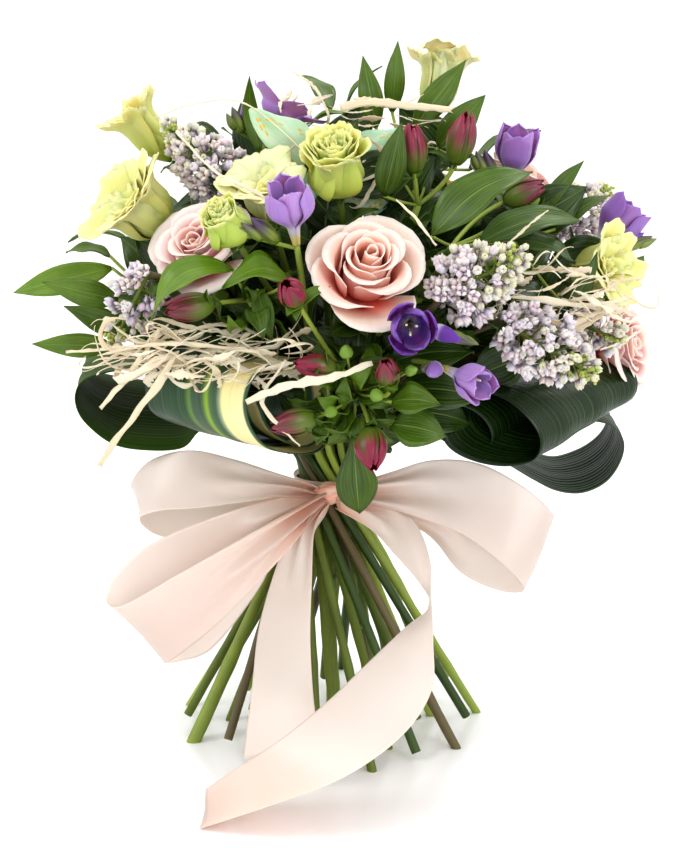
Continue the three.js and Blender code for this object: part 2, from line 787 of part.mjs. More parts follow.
for (let i = 0; i < LISIANTHUS_STEMS; i += 1) {
  const stem = stems.get(`lisianthus_stem_${i + 1}`);
  const branches = stem.others.map((flower) => lisianthusBranch(stem, flower));
  const calyxes = LISIANTHUS.filter((flower) => flower.stem === i)
    .map((flower) => calyx(flower, neckOf(flower, flower.height), LISIANTHUS_SEPAL));
  addPlant(stem.name, COLOURS.stem, [stemTube(stem), ...branches], calyxes);
}

LISIANTHUS.forEach((flower, i) => {
  const facing = direction(flower.facing);
  const base = neckOf(flower, flower.height).addScaledVector(facing, HEAD_SEAT);
  const head = stand(lisianthusHead(flower.width, flower.height), base, facing, i * 0.9);
  addPlant(flower.name, COLOURS.lisianthus, [], [withOutline(head)]);
});

LILACS.forEach((lilac) => {
  addPlant(lilac.name, COLOURS.lilac, [stemTube(stems.get(lilac.name))], [withOutline(panicle(lilac))]);
});

const FREESIA_STEM_RADIUS = 2.1;
const SPIKE_RADIUS = 1.3;
const FREESIA_BUDS = [
  { along: 0.45, radius: 4.8, length: 23 },
  { along: 0.76, radius: 3.6, length: 17 },
  { along: 1, radius: 2.6, length: 11 },
];

FREESIAS.forEach((flower) => {
  const facing = direction(flower.facing);
  const { to } = stems.get(flower.name);
  const outward = flower.spikeTo.clone().sub(to).normalize();
  const spike = guardedTube([to.clone().addScaledVector(facing, -3), flower.spikeTo], SPIKE_RADIUS, 3);
  const buds = FREESIA_BUDS.map(({ along, radius, length }) => {
    const at = to.clone().lerp(flower.spikeTo, along);
    const heading = facing.clone().addScaledVector(outward, 0.5 + along);
    return withOutline(stand(bud(radius, length, 4), at, heading));
  });
  const head = withOutline(stand(freesiaHead(flower.open), to, facing));
  const stem = stemTube(stems.get(flower.name), FREESIA_STEM_RADIUS);
  addPlant(flower.name, COLOURS.freesia, [stem], [spike, head, ...buds]);
});

const ROOT_DEPTH = 4; // how deep stalks start inside the end of their stem
const STALK_RADIUS = 1.5;

SPRAYS.forEach(({ name, buds = [], leaves }) => {
  const stem = stems.get(name);
  const fork = stem.to.clone().addScaledVector(stem.heading.clone().normalize(), -ROOT_DEPTH);
  const soft = leaves.map((shape) => guardedLeaf({ fork, ...shape }));
  buds.forEach(({ at, facing, radius, length }) => {
    const heading = direction(facing);
    soft.push(withOutline(stand(bud(radius, length), at, heading)));
    const under = at.clone().addScaledVector(heading, -fork.distanceTo(at) * 0.4);
    const stalk = new THREE.QuadraticBezierCurve3(fork, under, at);
    soft.push(guardedTube(stalk.getPoints(3), STALK_RADIUS, 3));
  });
  addPlant(name, COLOURS.leaf, [stemTube(stem)], soft);
});

const LOOPED_LEAF_THICKNESS = LEAF_THICKNESS + 0.3;

// The loop's outline in the plane of its leaf, from the stalk out, over and back
function loopedLeaf({ azimuth, inner, outer, low, high, width, sideways, tilt }, grow = 0) {
  const out = direction([azimuth, 0]);
  const side = vector(-out.y, out.x, 0);
  const middle = (low + high) / 2;
  const round = (high - low) / 2;
  const outline = [
    [inner - 4, LOOP_START],
    [inner + 16, (LOOP_START + low) / 2],
    [outer - round * 1.2, low],
  ];
  for (const angle of [-60, -20, 20, 60].map(radians)) {
    outline.push([outer - round + round * Math.cos(angle), middle + round * Math.sin(angle)]);
  }
  outline.push([outer - round * 1.3, high], [inner + 22, high - 8], [inner + 8, high - 22]);
  const place = (u, v) => {
    const [reach, rise] = outline[Math.round(u * (outline.length - 1))];
    const half = u === 0 ? 4 : (width / 2) * Math.min(1, 0.45 + 2.6 * u) * (1 - 0.35 * u * u);
    const along = v * (half + grow) + sideways * Math.min(1, 3 * u);
    return out.clone().multiplyScalar(reach).addScaledVector(side, along).setZ(rise + tilt * along);
  };
  return sheet(outline.length - 1, 2, place, LOOPED_LEAF_THICKNESS + 2 * grow);
}

ASPIDISTRAS.forEach((shape) => {
  addPlant(shape.name, COLOURS.aspidistra, [stemTube(stems.get(shape.name))], [
    { body: loopedLeaf(shape), guard: loopedLeaf(shape, BLADE_GAP) },
  ]);
});

// Straw: strands that all pass through one tangle
function seededRandom(seed) {
  let state = seed;
  return () => {
    state = (state * 16807) % 2147483647;
    return state / 2147483647;
  };
}

const STRAWS = [
  { name: "straw_left", at: seen([205, 372], -102), reach: [58, 18, 28], strands: 10, seed: 12 },
  { name: "straw_right", at: seen([560, 294], -84), reach: [44, 12, 18], strands: 8, seed: 23 },
  { name: "straw_top", at: seen([352, 128], -22), reach: [56, 16, 30], strands: 8, seed: 37 },
];

const STRAW_RADIUS = 0.9;
const STRAW_KNOT = 3;

function straw({ at, reach, strands, seed }) {
  const random = seededRandom(seed);
  const around = (share) => vector(...reach.map((r) => r * share * (2 * random() - 1)));
  const knot = turned([[0, -STRAW_KNOT], [STRAW_KNOT, 0], [0, STRAW_KNOT]], 6).translate(at.toArray());
  const strand = () => {
    const tip = at.clone().add(around(1.1));
    const bend = at.clone().lerp(tip, 0.5).add(around(0.25));
    return guardedTube([at.clone(), bend, tip], STRAW_RADIUS, 3);
  };
  return [withOutline(knot), ...Array.from({ length: strands }, strand)];
}

STRAWS.forEach((tangle) => addPlant(tangle.name, COLOURS.straw, [], straw(tangle)));

// A butterfly pick: two pairs of wings on a body, and the wire that holds it
const BUTTERFLY = { body: seen([330, 188], -26), wire: vector(-10, -14, 250) };
const WINGS = [
  { tip: seen([250, 110], -34), width: 34, bow: 0.04 },
  { tip: seen([268, 196], -44), width: 20, bow: 0.04 },
  { tip: seen([408, 124], -8), width: 34, bow: 0.04 },
  { tip: seen([398, 190], -20), width: 20, bow: 0.04 },
];

const butterflyBody = stand(bud(2.2, 20), BUTTERFLY.body, vector(0.1, 0.2, 1));
const wings = WINGS.map(({ tip, width, bow }) => guardedLeaf({
  fork: BUTTERFLY.body.clone().add(vector(0, 0, 2)),
  base: BUTTERFLY.body.clone().add(vector(0, 0, 8)).lerp(tip, 0.06),
  tip,
  width,
  bow,
  faceTo: vector(0, -1, 0.3),
}));
const wire = guardedTube([BUTTERFLY.wire, BUTTERFLY.body.clone().add(vector(0, 0, 2))], 0.6, 4);
addPlant("butterfly_pick", COLOURS.butterfly, [], [withOutline(butterflyBody), ...wings, wire]);

// The tie and the satin ribbon with its bow
const TWINE = { inner: 19.5, half: 3 };
const TIE_INNER = 21;
const BAND = { thickness: 1, half: 9 };

function ring(inner, outer, bottom, top) {
  const profile = [[inner, bottom], [outer, bottom], [outer, top], [inner, top], [inner, bottom]];
  return turned(profile, 16);
}

// A ring round the tie, as high above its middle as below it
function guardedRing(inner, outer, half) {
  const [bottom, top] = [TIE_HEIGHT - half, TIE_HEIGHT + half];
  return {
    body: ring(inner, outer, bottom, top),
    guard: ring(inner - CLEARANCE, outer + CLEARANCE, bottom - CLEARANCE, top + CLEARANCE),
  };
}

addPlant("binding_twine", COLOURS.twine, [], [guardedRing(TWINE.inner, TIE_INNER - 0.4, TWINE.half)]);

// A strip of ribbon through stations that each hold its two edges
function ribbon(stations, grow = 0) {
  const place = (u, v) => {
    const [one, other] = stations[Math.round(u * (stations.length - 1))];
    const widened = other.clone().sub(one).setLength(grow);
    return one.clone().lerp(other, (v + 1) / 2).addScaledVector(widened, v);
  };
  return sheet(stations.length - 1, 2, place, RIBBON_THICKNESS + 2 * grow);
}

const guardedRibbon = (stations) => ({ body: ribbon(stations), guard: ribbon(stations, CLEARANCE) });

// The depth at which a column and row of the photograph shows the floor, a ribbon's thickness up
function floorDepth([, row]) {
  const rise = (VIEW.centre[1] - row) / VIEW.focal;
  const cos = Math.cos(radians(VIEW.elevation));
  const sin = Math.sin(radians(VIEW.elevation));
  const height = RIBBON_THICKNESS - VIEW.target[2];
  return (height * (cos + rise * sin) - rise * VIEW.distance) / (rise * cos - sin);
}

// Where the ribbon's two edges are seen, each by its column, row and depth
const edgePoint = ([column, row, depth = floorDepth([column, row])]) => seen([column, row], depth);
const edges = (...stations) => stations.map((station) => station.map(edgePoint));

const BOW_LOOPS = {
  upper_left: edges(
    [[318, 486, -28], [318, 500, -28]],
    [[280, 477, -34], [286, 498, -42]],
    [[235, 461, -38], [240, 503, -56]],
    [[190, 451, -38], [195, 508, -62]],
    [[150, 462, -32], [158, 511, -62]],
    [[131, 486, -22], [141, 520, -54]],
    [[150, 478, -8], [164, 536, -34]],
    [[200, 466, -4], [212, 534, -26]],
    [[262, 477, -16], [272, 510, -24]],
    [[318, 488, -24], [318, 500, -24]],
  ),
  lower_left: edges(
    [[322, 490, -28], [322, 502, -28]],
    [[275, 500, -48], [296, 530, -40]],
    [[215, 517, -66], [258, 580, -52]],
    [[150, 545, -76], [206, 636, -62]],
    [[115, 577, -80], [172, 658, -66]],
    [[107, 600, -86], [165, 662, -74]],
    [[124, 605, -96], [180, 662, -84]],
    [[184, 571, -96], [232, 628, -84]],
    [[262, 525, -70], [288, 560, -62]],
    [[322, 492, -34], [322, 504, -34]],
  ),
  right: edges(
    [[346, 486, -28], [346, 500, -28]],
    [[390, 472, -44], [385, 508, -50]],
    [[434, 460, -54], [425, 520, -64]],
    [[481, 464, -60], [465, 536, -74]],
    [[527, 489, -64], [505, 567, -80]],
    [[555, 516, -62], [524, 590, -76]],
    [[540, 518, -46], [500, 591, -60]],
    [[500, 505, -38], [460, 572, -50]],
    [[450, 492, -34], [424, 532, -42]],
    [[348, 488, -24], [348, 500, -24]],
  ),
};

const TAILS = {
  ribbon_tail_left: edges(
    [[319, 506, -32], [330, 506, -32]],
    [[293, 534, -44], [316, 532, -50]],
    [[273, 580, -54], [312, 585, -68]],
    [[258, 632, -64], [311, 640, -82]],
    [[251, 690, -78], [314, 700, -96]],
    [[243, 760, -100], [320, 745, -118]],
  ),
  ribbon_tail_right: edges(
    [[334, 506, -33], [348, 498, -32]],
    [[370, 528, -54], [396, 506, -46]],
    [[396, 556, -74], [418, 527, -62]],
    [[420, 584, -86], [430, 560, -84]],
    [[428, 606, -84], [432, 596, -120]],
    [[405, 626, -108], [433, 642, -148]],
    [[370, 660, -124], [431, 690, -166]],
    [[325, 704, -134], [400, 736, -180]],
    [[275, 745, -139], [340, 778, -187]],
    [[235, 771, -141], [262, 808, -190]],
    [[207, 790], [200, 829]],
  ),
};

// The knot in front of the band, wider than it is high
const KNOT = vector(0, -TIE_INNER - 7.3, TIE_HEIGHT);
const KNOT_PROFILE = [[0, -10], [6, -8], [7.2, 0], [6, 8], [0, 10]];

addPlant("ribbon_bow", COLOURS.ribbon, [], [
  guardedRing(TIE_INNER, TIE_INNER + BAND.thickness, BAND.half),
  withOutline(stand(turned(KNOT_PROFILE, 7), KNOT, vector(1, 0, 0.1))),
  ...Object.values(BOW_LOOPS).map(guardedRibbon),
]);
Object.entries(TAILS).forEach(([name, stations]) => {
  addPlant(name, COLOURS.ribbon, [], [guardedRibbon(stations)]);
});

// Everything gives way to the frames of the others, and to what was placed before it

function clearOf(solid, guards) {
  const near = guards.filter((guard) => boxesMeet(solid, guard));
  return near.length ? solid.subtract(union(near)) : solid;
}

const largest = (solid) => solid.decompose().reduce((a, b) => (b.volume() > a.volume() ? b : a));

function assemble() {
  const bouquet = new THREE.Group();
  const placed = [];
  const frameGuards = plants.map(({ frame }) => frame.map(({ guard }) => guard));
  plants.forEach(({ name, colour, frame, soft }, index) => {
    const earlier = frameGuards.slice(0, index).flat();
    const others = frameGuards.filter((_, i) => i !== index).flat();
    const frameBody = frame.map(({ body }) => clearOf(body, earlier));
    const softBody = soft.map(({ body }) => clearOf(clearOf(body, others), placed));
    const body = largest(union([...frameBody, ...softBody]));
    placed.push(...soft.map(({ guard }) => guard));
    const material = new THREE.MeshStandardMaterial({ color: colour, roughness: 0.6, metalness: 0 });
    const mesh = new THREE.Mesh(geometryOf(body), material);
    mesh.name = name;
    bouquet.add(mesh);
  });
  return bouquet;
}

export default assemble();
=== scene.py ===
"""The looks of a hand-tied mixed bouquet that stands on its spiralled stems.

Every piece is shaped in millimetres, in the bouquet's own frame, and put into metres when it is done.
"""

import math
import random

import bpy
import numpy as np
from mathutils import Matrix, Vector


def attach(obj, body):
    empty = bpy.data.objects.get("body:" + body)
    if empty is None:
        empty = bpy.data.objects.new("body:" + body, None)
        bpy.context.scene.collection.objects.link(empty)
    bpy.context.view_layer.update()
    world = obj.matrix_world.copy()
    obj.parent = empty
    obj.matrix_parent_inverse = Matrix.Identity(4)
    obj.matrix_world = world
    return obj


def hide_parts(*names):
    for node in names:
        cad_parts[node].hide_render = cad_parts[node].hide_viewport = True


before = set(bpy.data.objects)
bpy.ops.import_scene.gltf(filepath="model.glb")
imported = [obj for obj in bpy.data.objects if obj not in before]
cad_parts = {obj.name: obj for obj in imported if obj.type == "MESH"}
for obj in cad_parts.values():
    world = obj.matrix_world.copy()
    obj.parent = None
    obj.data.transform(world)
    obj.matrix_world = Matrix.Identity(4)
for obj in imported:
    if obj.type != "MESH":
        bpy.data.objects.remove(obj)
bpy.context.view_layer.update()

MM = 0.001
TIE_HEIGHT = 152
STEM_RADIUS = 2.5
FREESIA_STEM_RADIUS = 2.1
RING_PITCH = 5.4
RINGS = ((1, 0), (6, 12), (12, 22), (18, 30.5))  # how many stems, and how far they lean in degrees
STRAIGHT_ABOVE_TIE = 12
CUT_HEIGHTS = (0, 9, 0, 16, 0, 5)
SPIRAL_TURN = math.radians(62)
HEAD_CENTRE = np.array([0.0, 0.0, 225.0])
LOOP_START = 180
TIE_OUTER = 22
KNOT = np.array([0.0, -28.3, TIE_HEIGHT])
PETAL_THICKNESS = 0.55
LEAF_THICKNESS = 0.6
RIBBON_WIDTH = 50
RIBBON_THICKNESS = 0.4
STRAW_THICKNESS = 0.3
WING_THICKNESS = 0.4
TAIL_REST = 0.8  # how high the middle of a tail's satin lies on the floor

# What the seeds of the random draws start from, for each kind of piece
SEEDS = {
    "roses": 100, "lisianthus": 200, "lisianthus_stems": 250, "freesias": 300, "lilacs": 400,
    "sprays": 500, "aspidistras": 600, "loops": 800, "tails": 810,
}

# How many faces a blade of each kind has across it and along it
LEAF_GRID, HIDDEN_LEAF_GRID = (6, 12), (4, 12)
ROSE_GRID, LISIANTHUS_GRID, YOUNG_GRID = (13, 16), (30, 11), (40, 11)
FREESIA_GRID, BUD_GRID = (8, 24), (7, 13)
LOOP_GRID, EDGED_GRID = (26, 90), (26, 80)
STRAND_GRID, WING_GRID, RIBBON_GRID, BAND_GRID = (3, 28), (22, 14), (40, 80), (14, 72)

# The photograph's view, which places pieces by the column and row where they are seen
VIEW_ELEVATION = math.radians(14)
VIEW_DISTANCE = 1500
VIEW_FOCAL = 2500
VIEW_TARGET = (12, 0, 187)
VIEW_CENTRE = (350, 424)
PHOTO_HEIGHT = 848


def seen(column, row, depth):
    """The place seen at a column and row of the photograph, at a depth behind the bouquet's middle."""
    across = (column - VIEW_CENTRE[0]) / VIEW_FOCAL
    rise = (VIEW_CENTRE[1] - row) / VIEW_FOCAL
    cos, sin = math.cos(VIEW_ELEVATION), math.sin(VIEW_ELEVATION)
    height = (rise * (VIEW_DISTANCE + cos * depth) - sin * depth) / (cos + rise * sin)
    away = VIEW_DISTANCE + depth * cos - height * sin
    return np.array([VIEW_TARGET[0] + across * away, depth, VIEW_TARGET[2] + height])


def floor_depth(row):
    """The depth at which a row of the photograph shows the satin that lies on the floor."""
    rise = (VIEW_CENTRE[1] - row) / VIEW_FOCAL
    cos, sin = math.cos(VIEW_ELEVATION), math.sin(VIEW_ELEVATION)
    height = TAIL_REST - VIEW_TARGET[2]
    return (height * (cos + rise * sin) - rise * VIEW_DISTANCE) / (rise * cos - sin)


def direction(azimuth, elevation):
    level = math.cos(math.radians(elevation))
    return np.array([
        level * math.cos(math.radians(azimuth)),
        level * math.sin(math.radians(azimuth)),
        math.sin(math.radians(elevation)),
    ])


# What the bouquet holds: where each thing is seen, how deep it lies and which way it faces

ROSES = (
    ("rose_front", seen(363, 276, -110), direction(-84, 48), 64),
    ("rose_left", seen(204, 247, -68), direction(-126, 46), 58),
    ("rose_right", seen(617, 350, 8), direction(-26, 14), 60),
    ("rose_top", seen(512, 190, 66), direction(42, 48), 56),
    ("rose_rear", np.array([-22.0, 118, 276]), direction(100, 25), 62),
    ("rose_rear_left", np.array([-104.0, 84, 262]), direction(146, 20), 58),
)
ROSE_WIDTH, ROSE_HEIGHT = 64, 30

# Name, stem, place, facing, width, height, and how green the flower is
LISIANTHUS = (
    ("lisianthus_left", 0, seen(146, 212, -24), direction(-158, 38), 56, 42, 0.25),
    ("lisianthus_high_left", 0, seen(150, 135, 22), direction(176, 52), 38, 44, 0.3),
    ("lisianthus_middle", 1, seen(268, 200, -52), direction(-112, 62), 46, 34, 0.0),
    ("lisianthus_small", 1, seen(226, 224, -108), direction(-128, 50), 26, 28, 0.9),
    ("lisianthus_green", 2, seen(336, 167, -62), direction(-100, 58), 38, 42, 0.75),
    ("lisianthus_top", 2, seen(438, 88, 62), direction(60, 72), 42, 44, 0.1),
    ("lisianthus_right", 3, seen(592, 272, -32), direction(-38, 20), 46, 40, 0.2),
    ("lisianthus_rear", 4, np.array([62.0, 112, 290]), direction(64, 36), 50, 42, 0.15),
)
LISIANTHUS_WIDTH, LISIANTHUS_HEIGHT = 50, 42
LISIANTHUS_STEMS = 5

# Name, place, facing, how open it is, the end of its spike, and how deep its violet is
FREESIAS = (
    ("freesia_front", seen(291, 213, -112), direction(-104, 60), 0.95, seen(250, 236, -112), 0.15),
    ("freesia_high", seen(284, 108, 28), direction(20, 58), 1.4, seen(234, 128, 12), 0.2),
    ("freesia_deep", seen(410, 326, -142), direction(-88, 4), 0.95, seen(462, 338, -118), 1.0),
    ("freesia_low", seen(470, 380, -132), direction(-50, -8), 0.85, seen(430, 366, -118), 0.15),
    ("freesia_upright", seen(514, 160, -14), direction(-60, 76), 0.85, seen(478, 168, -20), 0.3),
    ("freesia_right", seen(612, 228, 8), direction(4, 46), 0.95, seen(640, 246, 2), 0.5),
)
FREESIA_LENGTH = 44
FREESIA_BUDS = ((0.45, 4.8, 23), (0.76, 3.6, 17), (1, 2.6, 11))  # along the spike, radius, length

LILACS = (
    ("lilac_high_left", seen(246, 200, -18), seen(168, 128, -14), 40),
    ("lilac_left", seen(148, 274, -86), seen(114, 342, -92), 30),
    ("lilac_middle", seen(440, 300, -106), seen(518, 256, -118), 44),
    ("lilac_right", seen(500, 322, -92), seen(592, 374, -112), 42),
    ("lilac_low", seen(574, 322, -48), seen(620, 340, -66), 32),
    ("lilac_back", seen(556, 232, 58), seen(606, 190, 72), 34),
    ("lilac_rear", np.array([40.0, 84, 300]), np.array([56.0, 120, 352]), 42),
)


def seen_leaf(base, base_depth, tip, tip_depth, width, bow=0.12, face_to=None, tone=0.4, widest=0.42):
    return dict(base=seen(*base, base_depth), tip=seen(*tip, tip_depth), width=width, bow=bow,
                face_to=face_to, tone=tone, widest=widest)


TO_VIEWER = np.array([0, -1, 0.2])


def bud_on(place, depth, facing, radius, length, tone=0.5):
    return dict(at=seen(*place, depth), facing=direction(*facing), radius=radius, length=length, tone=tone)


# Leafy sprays: the fork where the stem ends, its buds and its leaves
# a leaf's tone is partly its own shade of green and partly painted shade: the leaves deep in the head get
# low tones
SPRAYS = {
    "alstroemeria_left": (
        seen(250, 300, -82),
        [bud_on((210, 304), -108, (-160, -4), 8.5, 27, 0.3)],
        [
            seen_leaf((232, 268), -112, (150, 318), -124, 22, 0.28, tone=0.8),
            seen_leaf((290, 282), -112, (222, 288), -126, 22, 0.3, tone=0.7),
            seen_leaf((258, 290), -98, (272, 340), -106, 11),
        ],
    ),
    "alstroemeria_top": (
        seen(418, 205, -46),
        [
            bud_on((414, 168), -56, (-110, 78), 9, 28, 0.6),
            bud_on((456, 160), -46, (-40, 74), 9, 30, 0.5),
        ],
        [
            seen_leaf((384, 196), -62, (402, 122), -66, 16, face_to=TO_VIEWER, tone=0.3),
            seen_leaf((414, 128), -14, (466, 60), -6, 15, face_to=TO_VIEWER, tone=0.5),
            seen_leaf((438, 148), -24, (485, 95), -24, 17, face_to=TO_VIEWER),
            seen_leaf((392, 112), 18, (398, 41), 22, 11, face_to=TO_VIEWER, tone=0.6),
            seen_leaf((376, 128), 0, (363, 56), 4, 13, face_to=TO_VIEWER, tone=0.5),
        ],
    ),
    "alstroemeria_right": (
        seen(452, 246, -74),
        [bud_on((508, 200), -42, (-10, 24), 8, 24, 0.15)],
        [
            seen_leaf((432, 236), -90, (532, 170), -72, 27, 0.16, tone=0.35),
            seen_leaf((478, 244), -74, (582, 218), -48, 21, tone=0.25),
            seen_leaf((540, 214), -34, (584, 160), -22, 9, tone=0.3),
            seen_leaf((560, 228), -36, (610, 194), -26, 9, tone=0.3),
        ],
    ),
    "alstroemeria_low": (
        seen(356, 392, -98),
        [
            bud_on((296, 300), -132, (-110, 40), 8, 20, 0.9),
            bud_on((332, 368), -122, (-170, 8), 7.5, 22, 1.0),
            bud_on((370, 432), -120, (-84, -48), 9.5, 25, 0.95),
            bud_on((312, 418), -118, (-160, -8), 8, 25, 0.2),
            bud_on((390, 384), -128, (-110, 62), 7, 18, 0.5),
        ],
        [
            seen_leaf((353, 434), -104, (359, 514), -92, 23, 0.06, TO_VIEWER, 0.3, 0.6),
            seen_leaf((392, 424), -116, (446, 436), -120, 24, 0.1, np.array([-0.1, -0.8, 0.6]), 0.4),
            seen_leaf((392, 402), -122, (440, 404), -128, 18, 0.2, tone=0.5),
            seen_leaf((398, 390), -94, (486, 398), -98, 28, tone=0.1),
            seen_leaf((390, 362), -92, (474, 352), -92, 28, tone=0.1),
            seen_leaf((352, 372), -84, (296, 330), -80, 26, tone=0.05),
            seen_leaf((356, 366), -82, (360, 296), -62, 30, tone=0.05),
            seen_leaf((384, 350), -84, (446, 306), -74, 26, tone=0.1),
            seen_leaf((410, 410), -84, (470, 424), -70, 24, tone=0.05),
        ],
    ),
    "foliage_left": (
        seen(160, 300, -24),
        [],
        [
            seen_leaf((112, 268), -36, (12, 293), -28, 16, 0.14, TO_VIEWER, 0.9),
            seen_leaf((118, 300), -58, (42, 282), -66, 15, 0.12, TO_VIEWER, 0.6),
            seen_leaf((132, 332), -40, (64, 306), -46, 14, 0.12, TO_VIEWER),
            seen_leaf((112, 346), -30, (32, 344), -36, 13, 0.12, TO_VIEWER, 0.7),
            seen_leaf((110, 256), -12, (66, 252), -10, 14, tone=0.5),
            seen_leaf((128, 240), 16, (68, 240), 20, 12, tone=0.5),
            seen_leaf((176, 284), 0, (120, 236), 8, 26, 0.1, TO_VIEWER, 0.15),
            seen_leaf((166, 320), -20, (104, 296), -16, 20, 0.1, TO_VIEWER, 0.2),
        ],
    ),
    "foliage_top": (
        seen(322, 150, 30),
        [],
        [
            seen_leaf((260, 152), 8, (249, 76), 4, 9, tone=0.5),
            seen_leaf((344, 116), 22, (382, 66), 28, 9),
            seen_leaf((300, 134), 34, (352, 112), 44, 15, tone=0.7),
            seen_leaf((470, 170), 72, (540, 128), 96, 16),
            seen_leaf((330, 110), 60, (300, 74), 92, 16),
            seen_leaf((340, 190), -8, (392, 128), 20, 24, tone=0.1),
            seen_leaf((380, 210), -20, (430, 140), 24, 24, tone=0.1),
            seen_leaf((300, 210), -10, (262, 170), 26, 24, tone=0.1),
            seen_leaf((350, 230), -40, (330, 206), -30, 26, tone=0.05),
            seen_leaf((400, 240), -50, (470, 190), -20, 26, tone=0.05),
            seen_leaf((240, 240), -20, (190, 190), 10, 26, tone=0.05),
            seen_leaf((470, 230), 0, (560, 190), 40, 26, tone=0.05),
        ],
    ),
    "foliage_right": (
        seen(530, 264, -30),
        [],
        [
            seen_leaf((514, 240), -70, (576, 262), -66, 22, 0.1, tone=0.15),
            seen_leaf((566, 306), -66, (597, 252), -64, 11, tone=0.2),
            seen_leaf((604, 300), 10, (644, 256), 42, 14),
            seen_leaf((474, 376), -56, (534, 352), -52, 26, 0.05, TO_VIEWER, 0.05),
            seen_leaf((520, 330), -30, (600, 330), -20, 30, tone=0.05),
            seen_leaf((500, 290), -60, (560, 330), -60, 28, tone=0.05),
        ],
    ),
    "foliage_rear": (
        np.array([-34.0, 70, 262]),
        [],
        [
            dict(base=np.array([-60.0, 88, 272]), tip=np.array([-100.0, 128, 300]), width=20),
            dict(base=np.array([-6.0, 96, 250]), tip=np.array([8.0, 152, 246]), width=20),
            dict(base=np.array([-44.0, 84, 300]), tip=np.array([-66.0, 116, 352]), width=19),
            dict(base=np.array([-84.0, 60, 296]), tip=np.array([-140.0, 84, 318]), width=18),
            dict(base=np.array([-60.0, 90, 246]), tip=np.array([-84.0, 146, 238]), width=19),
            dict(base=np.array([6.0, 92, 290]), tip=np.array([34.0, 134, 318]), width=17),
        ],
    ),
}

# The azimuth in which each looped leaf's stem goes out, and how far out the leaf starts
ASPIDISTRAS = {
    "aspidistra_variegated": (-123, 44),
    "aspidistra_left": (173, 44),
    "aspidistra_right": (-45, 50),
    "aspidistra_right_back": (8, 60),
    "aspidistra_rear": (88, 44),
}
REAR_LOOP = (128, 182, 228, 92)  # how far out it reaches, its low and its high side, and the leaf's width

# The two edges of the ribbon along each loop and tail: column, row and depth
BOW_LOOPS = {
    "upper_left": (
        ((318, 486, -28), (318, 500, -28)),
        ((280, 477, -34), (286, 498, -42)),
        ((235, 461, -38), (240, 503, -56)),
        ((190, 451, -38), (195, 508, -62)),
        ((150, 462, -32), (158, 511, -62)),
        ((131, 486, -22), (141, 520, -54)),
        ((150, 478, -8), (164, 536, -34)),
        ((200, 466, -4), (212, 534, -26)),
        ((262, 477, -16), (272, 510, -24)),
        ((318, 488, -24), (318, 500, -24)),
    ),
    "lower_left": (
        ((322, 490, -28), (322, 502, -28)),
        ((275, 500, -48), (286, 534, -42)),
        ((215, 517, -66), (260, 586, -52)),
        ((150, 545, -76), (214, 646, -62)),
        ((115, 577, -80), (180, 661, -66)),
        ((107, 600, -86), (165, 662, -74)),
        ((124, 605, -96), (175, 657, -84)),
        ((184, 571, -96), (220, 620, -84)),
        ((262, 525, -70), (280, 556, -62)),
        ((322, 492, -34), (322, 504, -34)),
    ),
    "right": (
        ((346, 486, -28), (346, 500, -28)),
        ((390, 472, -44), (385, 508, -50)),
        ((434, 460, -54), (425, 520, -64)),
        ((481, 464, -60), (465, 536, -74)),
        ((527, 489, -64), (505, 567, -80)),
        ((555, 516, -62), (524, 590, -76)),
        ((540, 518, -46), (500, 591, -60)),
        ((500, 505, -38), (460, 572, -50)),
        ((450, 492, -34), (424, 532, -42)),
        ((348, 488, -24), (348, 500, -24)),
    ),
}
TAILS = {
    "ribbon_tail_left": (
        ((319, 506, -32), (330, 506, -32)),
        ((293, 534, -44), (316, 532, -50)),
        ((273, 580, -54), (312, 585, -68)),
        ((258, 632, -64), (311, 640, -82)),
        ((251, 690, -78), (314, 700, -96)),
        ((243, 760, -100), (320, 745, -118)),
    ),
    "ribbon_tail_right": (
        ((334, 506, -33), (348, 498, -32)),
        ((370, 528, -54), (396, 506, -46)),
        ((396, 556, -74), (418, 527, -62)),
        ((420, 584, -86), (430, 560, -84)),
        ((428, 606, -84), (432, 596, -120)),
        ((405, 626, -108), (433, 642, -148)),
        ((370, 660, -124), (431, 690, -166)),
        ((325, 704, -134), (400, 736, -180)),
        ((275, 745, -139), (340, 778, -187)),
        ((235, 771, -141), (262, 808, -190)),
        ((207, 790, floor_depth(790)), (200, 829, floor_depth(829))),
    ),
}


# Lines, frames and soft irregularity

def unit(vectors):
    vectors = np.asarray(vectors, float)
    return vectors / np.maximum(np.linalg.norm(vectors, axis=-1, keepdims=True), 1e-9)


def smooth_step(low, high, value):
    share = np.clip((value - low) / (high - low), 0, 1)
    return share * share * (3 - 2 * share)


def bezier(points, count):
    """Places along the curve that a few control points pull."""
    t = np.linspace(0, 1, count)[:, None]
    level = [np.asarray(p, float)[None, :] for p in points]
    while len(level) > 1:
        level = [a * (1 - t) + b * t for a, b in zip(level, level[1:])]
    return level[0]


def spline(stations, count):
    """A smooth line of places through all the stations."""
    stations = np.asarray(stations, float)
    ends = 2 * stations[0] - stations[1], 2 * stations[-1] - stations[-2]
    held = np.concatenate([[ends[0]], stations, [ends[1]]])
    place = np.linspace(0, len(stations) - 1, count)
    step = np.minimum(place.astype(int), len(stations) - 2)
    t = (place - step)[:, None]
    a, b, c, d = (held[step + i] for i in range(4))
    return 0.5 * (2 * b + (c - a) * t + (2 * a - 5 * b + 4 * c - d) * t**2 + (3 * b - a - 3 * c + d) * t**3)


def along(route, share):
    place = np.clip(share, 0, 1) * (len(route) - 1)
    step = np.minimum(place.astype(int), len(route) - 2)
    rest = (place - step)[:, None]
    return route[step] * (1 - rest) + route[step + 1] * rest


def length_of(route):
    return float(np.linalg.norm(np.diff(route, axis=0), axis=1).sum())


